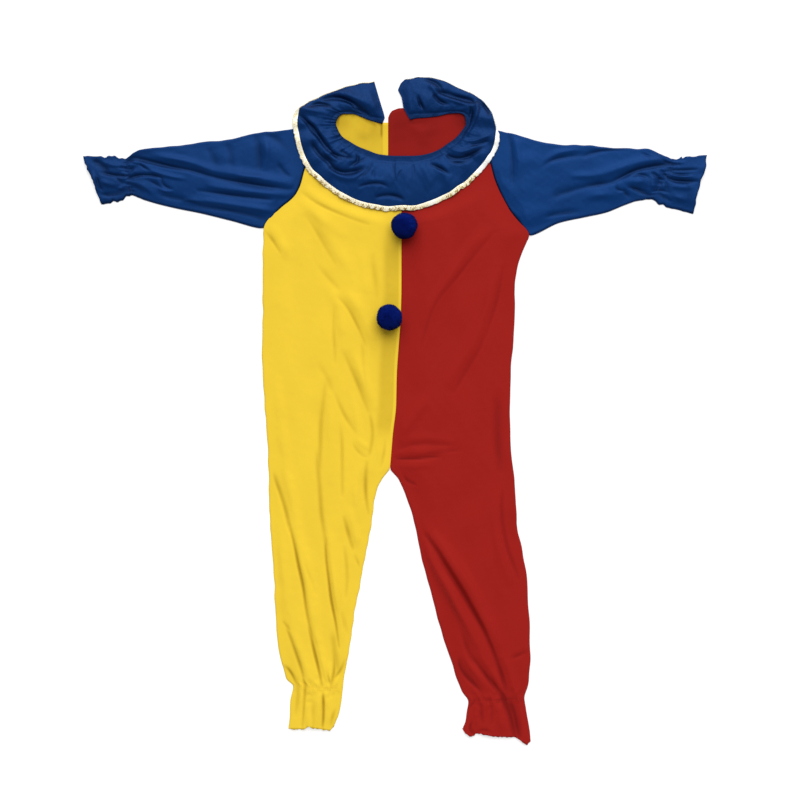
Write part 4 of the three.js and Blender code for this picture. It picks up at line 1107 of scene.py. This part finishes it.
# How far the ends' edges lie to the right of the end sections: share of the width, mm.
flapEnds = {
    "left": [(0, 2.2), (0.14, 7.3), (0.26, 6.6), (0.5, 4), (1, -0.8)],
    "right": [(0, 0), (0.1, -3), (0.3, -7.6), (0.55, -8), (0.735, -11.9), (0.9, -6), (1, 1.5)],
}
collar = {
    "across": 40, "along": 720, "tighter": 0,
    "wall": 0.7,
    "header": 0.13,                           # share of its width inside the gathering line
    "puff": 4.2,
    "pleats": 64, "pleatSeed": 7,
    "waves": [(0.4, 26, 1, 1), (0.16, 11, 1, 1), (0.06, 5, 1, 1)],
    "ragged": 0.5, "raggedWaves": 30,         # how far its outer edge strays, in how many waves
    # shade values are painted shade: over the whole collar, more to its sides, behind the neck and at its
    # inner edge
    "shade": 0.34, "sideShade": 0.13, "backShade": 0.5, "rimShade": 0.7,
    "backShare": 0.2,                         # how much of each half lies behind the neck
    "flapShare": 0.05,                        # how much of the collar its shaped ends take
}


def makePleats():
    # small gathers at the neckline, each with its own spacing, width, height and length
    count, draw = collar["pleats"], np.random.default_rng(collar["pleatSeed"])
    step = draw.uniform(0.6, 1.5, count + 1)
    spots = np.cumsum(step)[:-1] / step.sum()
    rise = draw.uniform(0.15, 0.8, count) ** 1.3
    rise = rise * (0.55 + 1.3 * hill(spots - 0.27, 0.09))      # higher ones round the yellow side
    return np.stack([spots, draw.uniform(0.003, 0.007, count), rise,
                     draw.uniform(0.25, 0.75, count), draw.uniform(-0.01, 0.01, count)], axis=1)


pleats = makePleats()


def collarPlace(u, v):
    last = len(collarSections["innerX"]) - 1
    row = {name: through(np.arange(last + 1.0), collarSections[name], v * last) for name in collarColumns}
    x, y = mix(row["innerX"], row["outerX"], u), mix(row["innerY"], row["outerY"], u)
    for flap, fromEnd in (("left", v), ("right", 1 - v)):
        x = x + np.clip(1 - fromEnd / collar["flapShare"], 0, 1) * np.interp(u, *np.array(flapEnds[flap]).T)
    y = y + collar["ragged"] * rippleAlong(v * collar["raggedWaves"], 1, 151) * u ** 2
    level = mix(row["innerZ"], row["outerZ"], eased((u - 0.4) / 0.35)) + thick
    header = eased(u / collar["header"])
    pastHeader = np.clip((u - collar["header"]) / (1 - collar["header"]), 0, 1)
    puff = collar["puff"] * np.sin(np.pi * pastHeader ** 0.75) ** 0.7 * (1 + 0.25 * ripple(x, y, 70, 152))
    puff = puff * eased(v / 0.02) * eased((1 - v) / 0.02)
    small = np.zeros_like(x)
    for spot, spread, rise, reach, lean in pleats:
        ridge = hill(v - spot - lean * u, spread * (1 + 0.9 * u))
        small += rise * ridge * mix(0.35, 1, header) * eased(1 - (u - 0.1) / reach)
    small = small * row["gather"] * 0.8
    wide = np.zeros_like(x)
    for spot, spread, rise, lean in rowsOf(collarWaves, waveColumns):
        wide += rise * hill(v - spot - lean * (1 - u), spread * mix(0.7, 1, u))
    wide = wide * eased(u * 1.1) * row["outerZ"].clip(1.5, 3) / 3 * 1.1
    fade = eased(u / 0.12) * eased((1 - u) / 0.1)
    crinkle = uneven(x, y, collar["waves"], 153) * header * mix(1, 0.4, u)
    folds, lost = creases(x, y, collarFolds)
    stitched = 0.12 * hill(u - collar["header"], 0.025)
    z = level + aboveZero(puff + wide + small + fade * folds + crinkle - stitched, 0.4)
    # painted shade: darkest at the inner edge behind the neck, then at the inner edge all round and inside
    # the gathering line, over the whole collar and more to its sides, and in the fold troughs; a little
    # painted light on raised folds
    behind = eased((collar["backShare"] - np.minimum(v, 1 - v)) / 0.03)
    rim = collar["rimShade"] * hill(u, 0.05) + 0.22 * eased((collar["header"] + 0.03 - u) / 0.05)
    deep = np.clip(lost - 0.05 * folds, 0, 0.95) * fade + collar["shade"] + rim
    deep = deep + collar["sideShade"] * eased((np.abs(v - 0.5) - 0.08) / 0.2)
    return x, y, z, deep + collar["backShade"] * behind * eased(1.6 - u / 0.05)


collarPiece = clothSheet("romper_collar", collar, collarPlace, blue, "collar")


# The braid runs along the collar's outer edge and turns under it towards the back.
trim = {
    "across": 8, "along": 1500, "tighter": 0,
    "wall": 0.9,
    "run": 1000,                              # rough length, which its small waves are counted by
    "inside": 1.2, "width": 5.8,              # how far in and out from the collar's edge it reaches
    "from": 0.165, "to": 0.765,               # between these it shows, and past them it is tucked under
    "tucked": 0.05, "blend": 0.03,
    "twists": 1010 / 3.6,                     # its length by the length of one turn
    "lowest": 0.9,
    "gold": 0.43, "flecks": 0.15, "patches": 0.17, "twistShade": 0.15,    # how much gold shows
    "fleckedFrom": 0.29, "paleFrom": 0.635, "paleSpot": 0.545,            # places along the collar
}


def trimPlace(u, v):
    edgeX, edgeY, edgeZ, _ = collarPlace(np.ones_like(v), v)
    nearX, nearY, _, _ = collarPlace(np.full_like(v, 0.93), v)
    outX, outY = edgeX - nearX, edgeY - nearY
    long = np.hypot(outX, outY)
    run = v * trim["run"]
    shown = eased((v - trim["from"]) / trim["blend"]) * eased((trim["to"] - v) / trim["blend"])
    width = trim["width"] * mix(trim["tucked"], 1, shown)
    twist = v * trim["twists"] * 2 * np.pi
    scallop = (0.3 * np.abs(np.sin(twist / 2)) + 0.5 * rippleAlong(run, 9, 163)) * shown
    offset = mix(-trim["inside"] * mix(0.2, 1, shown), width + scallop, u) / long
    across = np.abs(u - 0.5) * 2
    plait = np.cos(twist + 2.5 * rippleAlong(run, 22, 162) + 5.5 * across)
    z = edgeZ + 0.75 + 0.35 * (1 - across ** 2) + 0.15 * plait * (1 - across ** 4)
    z = z - 1.1 * u * shown + 0.25 * rippleAlong(run, 40, 161)
    # how much of the braid's gold shows
    patches = rippleAlong(run, 8, 164) * (0.8 + 0.4 * rippleAlong(run, 45, 165))
    flecked = eased((v - trim["fleckedFrom"]) / 0.05) * eased((u - 0.3) / 0.35)
    gold = trim["gold"] + (trim["flecks"] + trim["patches"] * patches) * flecked - trim["twistShade"] * plait
    gold = gold * (1 - 0.9 * eased((v - trim["paleFrom"]) / 0.015))
    gold = gold * (1 - 0.6 * hill(v - trim["paleSpot"], 0.012))
    return edgeX + outX * offset, edgeY + outY * offset, np.maximum(z, trim["lowest"]), gold


# from cream to a dark gold, by how much gold shows
braidColours = [(0.34, (1, 1, 0.95)), (0.46, (1, 0.94, 0.7)), (0.55, (0.86, 0.7, 0.36)),
                (0.62, (0.3, 0.19, 0.05))]


def braidMaterial():
    # cream threads crossed by metallic gold ones
    material = plainMaterial("braid_threads", (1, 0.94, 0.7), 0.38, shine=0.5)
    link = material.node_tree.links.new
    shader = material.node_tree.nodes["Principled BSDF"]
    shader.inputs["Metallic"].default_value = 0.15
    place = addNode(material, "TexCoord", {})
    speck = addNode(material, "TexNoise", {"Scale": 420, "Detail": 2})
    link(place.outputs["Object"], speck.inputs["Vector"])
    gold = addNode(material, "Attribute", {})
    gold.attribute_name = "deep"
    halved = addNode(material, "Math", {1: 0.5})
    halved.operation = "MULTIPLY"
    link(gold.outputs["Fac"], halved.inputs[0])
    both = addNode(material, "Math", {1: 0.5})
    both.operation = "MULTIPLY_ADD"
    link(speck.outputs["Fac"], both.inputs[0])
    link(halved.outputs["Value"], both.inputs[2])
    ramp = addNode(material, "ValToRGB", {})
    ends = ramp.color_ramp.elements
    ends[0].position, ends[1].position = braidColours[0][0], braidColours[-1][0]
    for spot, _ in braidColours[1:-1]:
        ends.new(spot)
    for end, (_, colour) in zip(ends, braidColours):
        end.color = (*colour, 1)
    link(both.outputs["Value"], ramp.inputs["Fac"])
    link(ramp.outputs["Color"], shader.inputs["Base Color"])
    return material


trimPiece = clothSheet("romper_trim", trim, trimPlace, braidMaterial(), "collar_trim")


# The pompoms: a core that can't be seen between some thousands of tapered fibres.
pompom = {
    "radius": 21, "core": 15.2,
    "seat": 3.15, "centre": 22.85,            # heights of its lowest tips and its middle
    "fibres": 6000, "length": 6.4, "fibre": 0.42,
    "spread": 0.26,                           # how unevenly the fibres lean
    "clump": 1.9,                             # how much shorter they are between clumps
    # painted shade: the pile's colour at the top, and the darker colour low on its sides
    "topColour": (0.006, 0.024, 0.28), "lowColour": (0.001, 0.0025, 0.014),
    "shadeFrom": 21, "shadeTo": 39,           # heights between which the pile gets lighter
    "seeds": {"top": 5, "bottom": 9},
}


def pileMaterial():
    # pile that gets darker down the sides, where its fibres shade each other
    material = plainMaterial("pompom_pile", pompom["topColour"], 0.85, shine=0.03)
    link = material.node_tree.links.new
    place = addNode(material, "TexCoord", {})
    parts = addNode(material, "SeparateXYZ", {})
    link(place.outputs["Object"], parts.inputs["Vector"])
    height = addNode(material, "MapRange", {"From Min": pompom["shadeFrom"] * mm,
                                            "From Max": pompom["shadeTo"] * mm})
    link(parts.outputs["Z"], height.inputs["Value"])
    blend = addMixer(material, pompom["lowColour"], pompom["topColour"])
    link(height.outputs["Result"], blend.inputs[0])
    link(blend.outputs[2], material.node_tree.nodes["Principled BSDF"].inputs["Base Color"])
    return material


yarn = pileMaterial()


def unit(directions):
    return directions / np.linalg.norm(directions, axis=1, keepdims=True)


def turnsTo(directions):
    # turns that take +Z to each direction
    helper = np.where(np.abs(directions[:, :1]) > 0.8, [[0.0, 1.0, 0.0]], [[1.0, 0.0, 0.0]])
    first = unit(np.cross(helper, directions))
    return np.stack([first, np.cross(directions, first), directions], axis=2)


def slender(radius, lengths):
    # scales of long thin copies
    return np.stack([np.full(len(lengths), radius), np.full(len(lengths), radius), lengths], axis=1)


def makePompom(end, seed):
    name, count = "romper_pompom_" + end, pompom["fibres"]
    draw = np.random.default_rng(seed)
    centre = np.array([*pompomSpots[end], pompom["centre"]])
    order = np.arange(count) + 0.5
    tilt, spin = np.arccos(1 - 2 * order / count), np.pi * (1 + 5 ** 0.5) * order
    out = np.stack([np.cos(spin) * np.sin(tilt), np.sin(spin) * np.sin(tilt), np.cos(tilt)], axis=1)
    lean = unit(out + draw.normal(0, pompom["spread"], (count, 3)))
    outX, outY, outZ = out.T
    clumps = 0.5 + 0.5 * np.sin(5.1 * outX + 3 * outY + seed) * np.sin(4.3 * outZ + 2 * outX)
    length = pompom["length"] * draw.uniform(0.82, 1, count) - pompom["clump"] * clumps ** 2
    roots = centre + out * (pompom["radius"] - pompom["length"] - 0.1)
    kept = (roots + lean * length[:, None])[:, 2] > pompom["seat"] + 0.1
    fibre = bmesh.new()
    bmesh.ops.create_cone(fibre, segments=3, radius1=1, radius2=0.35, depth=1, cap_ends=True)
    bmesh.ops.translate(fibre, vec=(0, 0, 0.5), verts=fibre.verts)
    pile = manyOf(name, fibre, roots[kept], turnsTo(lean[kept]), slender(pompom["fibre"], length[kept]),
                  yarn)
    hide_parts("pompom_" + end)
    ball = bmesh.new()
    bmesh.ops.create_uvsphere(ball, u_segments=32, v_segments=20, radius=pompom["core"] * mm)
    bmesh.ops.translate(ball, vec=tuple(centre * mm), verts=ball.verts)
    mesh = bpy.data.meshes.new(name + "_core")
    ball.to_mesh(mesh)
    ball.free()
    dress(addObject(name + "_core", mesh), yarn)


for end, seed in pompom["seeds"].items():
    makePompom(end, seed)


# Stitches: short rounded threads along lines on the cloth.
stitch = {
    "radius": 0.2, "cover": 0.68,             # cover is the thread's share of a stitch's length
    "zigzag": 0.8, "above": 0.04,
    "edge": 0.01,                             # share of a panel left free at its edges
    "ankleRows": (-0.002, 0.003), "wristRows": (-0.006, 0.006),    # before and past the elastic
    "counts": {"yellow": 40, "red": 44, "left": 30, "right": 34, "collar": 230},
    "collarEnds": 0.004,
}
# thick overlapping near-black stitches: real seam stitches whose dark colour is a painted shadow along the
# raglan seams
raglanStitch = {"radius": 0.55, "cover": 1.1, "near": 0.1, "far": 1.1, "height": 2.35, "count": 90}


def stitchLine(place, start, end, count, near=0, far=0, height=None):
    # Threads from one (u, v) of a piece to another, at near and far sideways by turns. They lie
    # on the cloth, or at a height of their own.
    t = np.linspace(0, 1, count + 1)
    x, y, z, _ = place(mix(start[0], end[0], t), mix(start[1], end[1], t))
    dx, dy = np.gradient(x), np.gradient(y)
    shift = np.where(np.arange(count + 1) % 2 == 0, near, far) / np.hypot(dx, dy)
    z = z + stitch["above"] if height is None else np.full(count + 1, height)
    points = np.stack([x - dy * shift, y + dx * shift, z], axis=1)
    return points[:-1], points[1:]


def elasticLines(place, marks, fromU, rows, which):
    # zigzag rows, one before and one past the elastic
    at, side = marks["elastic"], stitch["zigzag"]
    return [stitchLine(place, (fromU, at + step), (1 - stitch["edge"], at + step),
                       stitch["counts"][which], side, -side) for step in rows]


def raglanLine(place, armpit, side):
    # close zigzag along the front's raglan edge, on the sleeve's side of it, in near-black thread, a painted
    # shadow in the seam
    return stitchLine(place, (0, 0), (0, armpit), raglanStitch["count"], side * raglanStitch["near"],
                      side * raglanStitch["far"], raglanStitch["height"])


def makeStitches(name, lines, colour, size=stitch):
    starts, ends = (np.concatenate(part) for part in zip(*lines))
    span = ends - starts
    half = np.linalg.norm(span, axis=1) / 2
    bead = bmesh.new()
    bmesh.ops.create_uvsphere(bead, u_segments=6, v_segments=4, radius=1)
    scales = slender(size["radius"], half * size["cover"])
    return manyOf(name, bead, (starts + ends) / 2, turnsTo(unit(span)), scales, colour)


yellowThread = plainMaterial("yellow_thread", (0.8, 0.52, 0.05), 0.5)
redThread = plainMaterial("red_thread", (0.24, 0.012, 0.01), 0.5)
blueThread = plainMaterial("blue_thread", (0.012, 0.042, 0.16), 0.5)
# near-black thread for the raglan seams, a painted shadow in the seam
seamShadowThread = plainMaterial("seam_shadow_thread", (0.002, 0.004, 0.012), 0.8, shine=0.02)
upperStart = sleeve["lower"] + sleeve["round"]      # where a sleeve's upper layer starts
makeStitches("romper_stitches_yellow", [
    *elasticLines(yellowPlace, yellowMarks, stitch["edge"], stitch["ankleRows"], "yellow"),
], yellowThread)
makeStitches("romper_stitches_red", [
    *elasticLines(redPlace, redMarks, stitch["edge"], stitch["ankleRows"], "red"),
], redThread)
makeStitches("romper_stitches_blue", [
    *elasticLines(leftPlace, leftMarks, upperStart, stitch["wristRows"], "left"),
    *elasticLines(rightPlace, rightMarks, upperStart, stitch["wristRows"], "right"),
    stitchLine(collarPlace, (collar["header"], stitch["collarEnds"]),
               (collar["header"], 1 - stitch["collarEnds"]), stitch["counts"]["collar"]),
], blueThread)
makeStitches("romper_stitches_raglan_shadow", [
    raglanLine(yellowPlace, yellowMarks["armpit"], -1),
    raglanLine(redPlace, redMarks["armpit"], 1),
], seamShadowThread, raglanStitch)


# The surface below, the light from beyond the neck, and a camera straight above, in metres.
studio = {
    "surface": 30, "surfaceGlow": 0.5,
    "sun": 2.85, "sunWidth": 60, "sunTurn": (-38, 0, -8),    # the angles in degrees
    "room": 0.36,
    "lens": 70, "sensor": 36,
    "seen": 1.2, "middle": (0.00675, 0.01725),               # width of the view, and what it is over
}
floorMesh = bpy.data.meshes.new("surface")
floorGrid = bmesh.new()
bmesh.ops.create_grid(floorGrid, x_segments=1, y_segments=1, size=studio["surface"])
floorGrid.to_mesh(floorMesh)
floorGrid.free()
paper = plainMaterial("pale_surface", (0.55, 0.55, 0.55), 0.9)
paperShader = paper.node_tree.nodes["Principled BSDF"]
paperShader.inputs["Emission Color"].default_value = (1, 1, 1, 1)
paperShader.inputs["Emission Strength"].default_value = studio["surfaceGlow"]
floorMesh.materials.append(paper)
addObject("surface", floorMesh)

sun = bpy.data.lights.new("key", "SUN")
sun.energy = studio["sun"]
sun.angle = math.radians(studio["sunWidth"])
addObject("key", sun).rotation_euler = [math.radians(turn) for turn in studio["sunTurn"]]
world = bpy.data.worlds.new("room")
world.use_nodes = True
world.node_tree.nodes["Background"].inputs["Color"].default_value = (1, 1, 1, 1)
world.node_tree.nodes["Background"].inputs["Strength"].default_value = studio["room"]
bpy.context.scene.world = world

cameraData = bpy.data.cameras.new("above")
cameraData.lens = studio["lens"]
cameraData.sensor_width = studio["sensor"]
camera = addObject("above", cameraData)
camera.location = (*studio["middle"], studio["lens"] / studio["sensor"] * studio["seen"])
bpy.context.scene.camera = camera
bpy.context.scene.view_settings.view_transform = "Standard"
print("surface, light and camera placed")
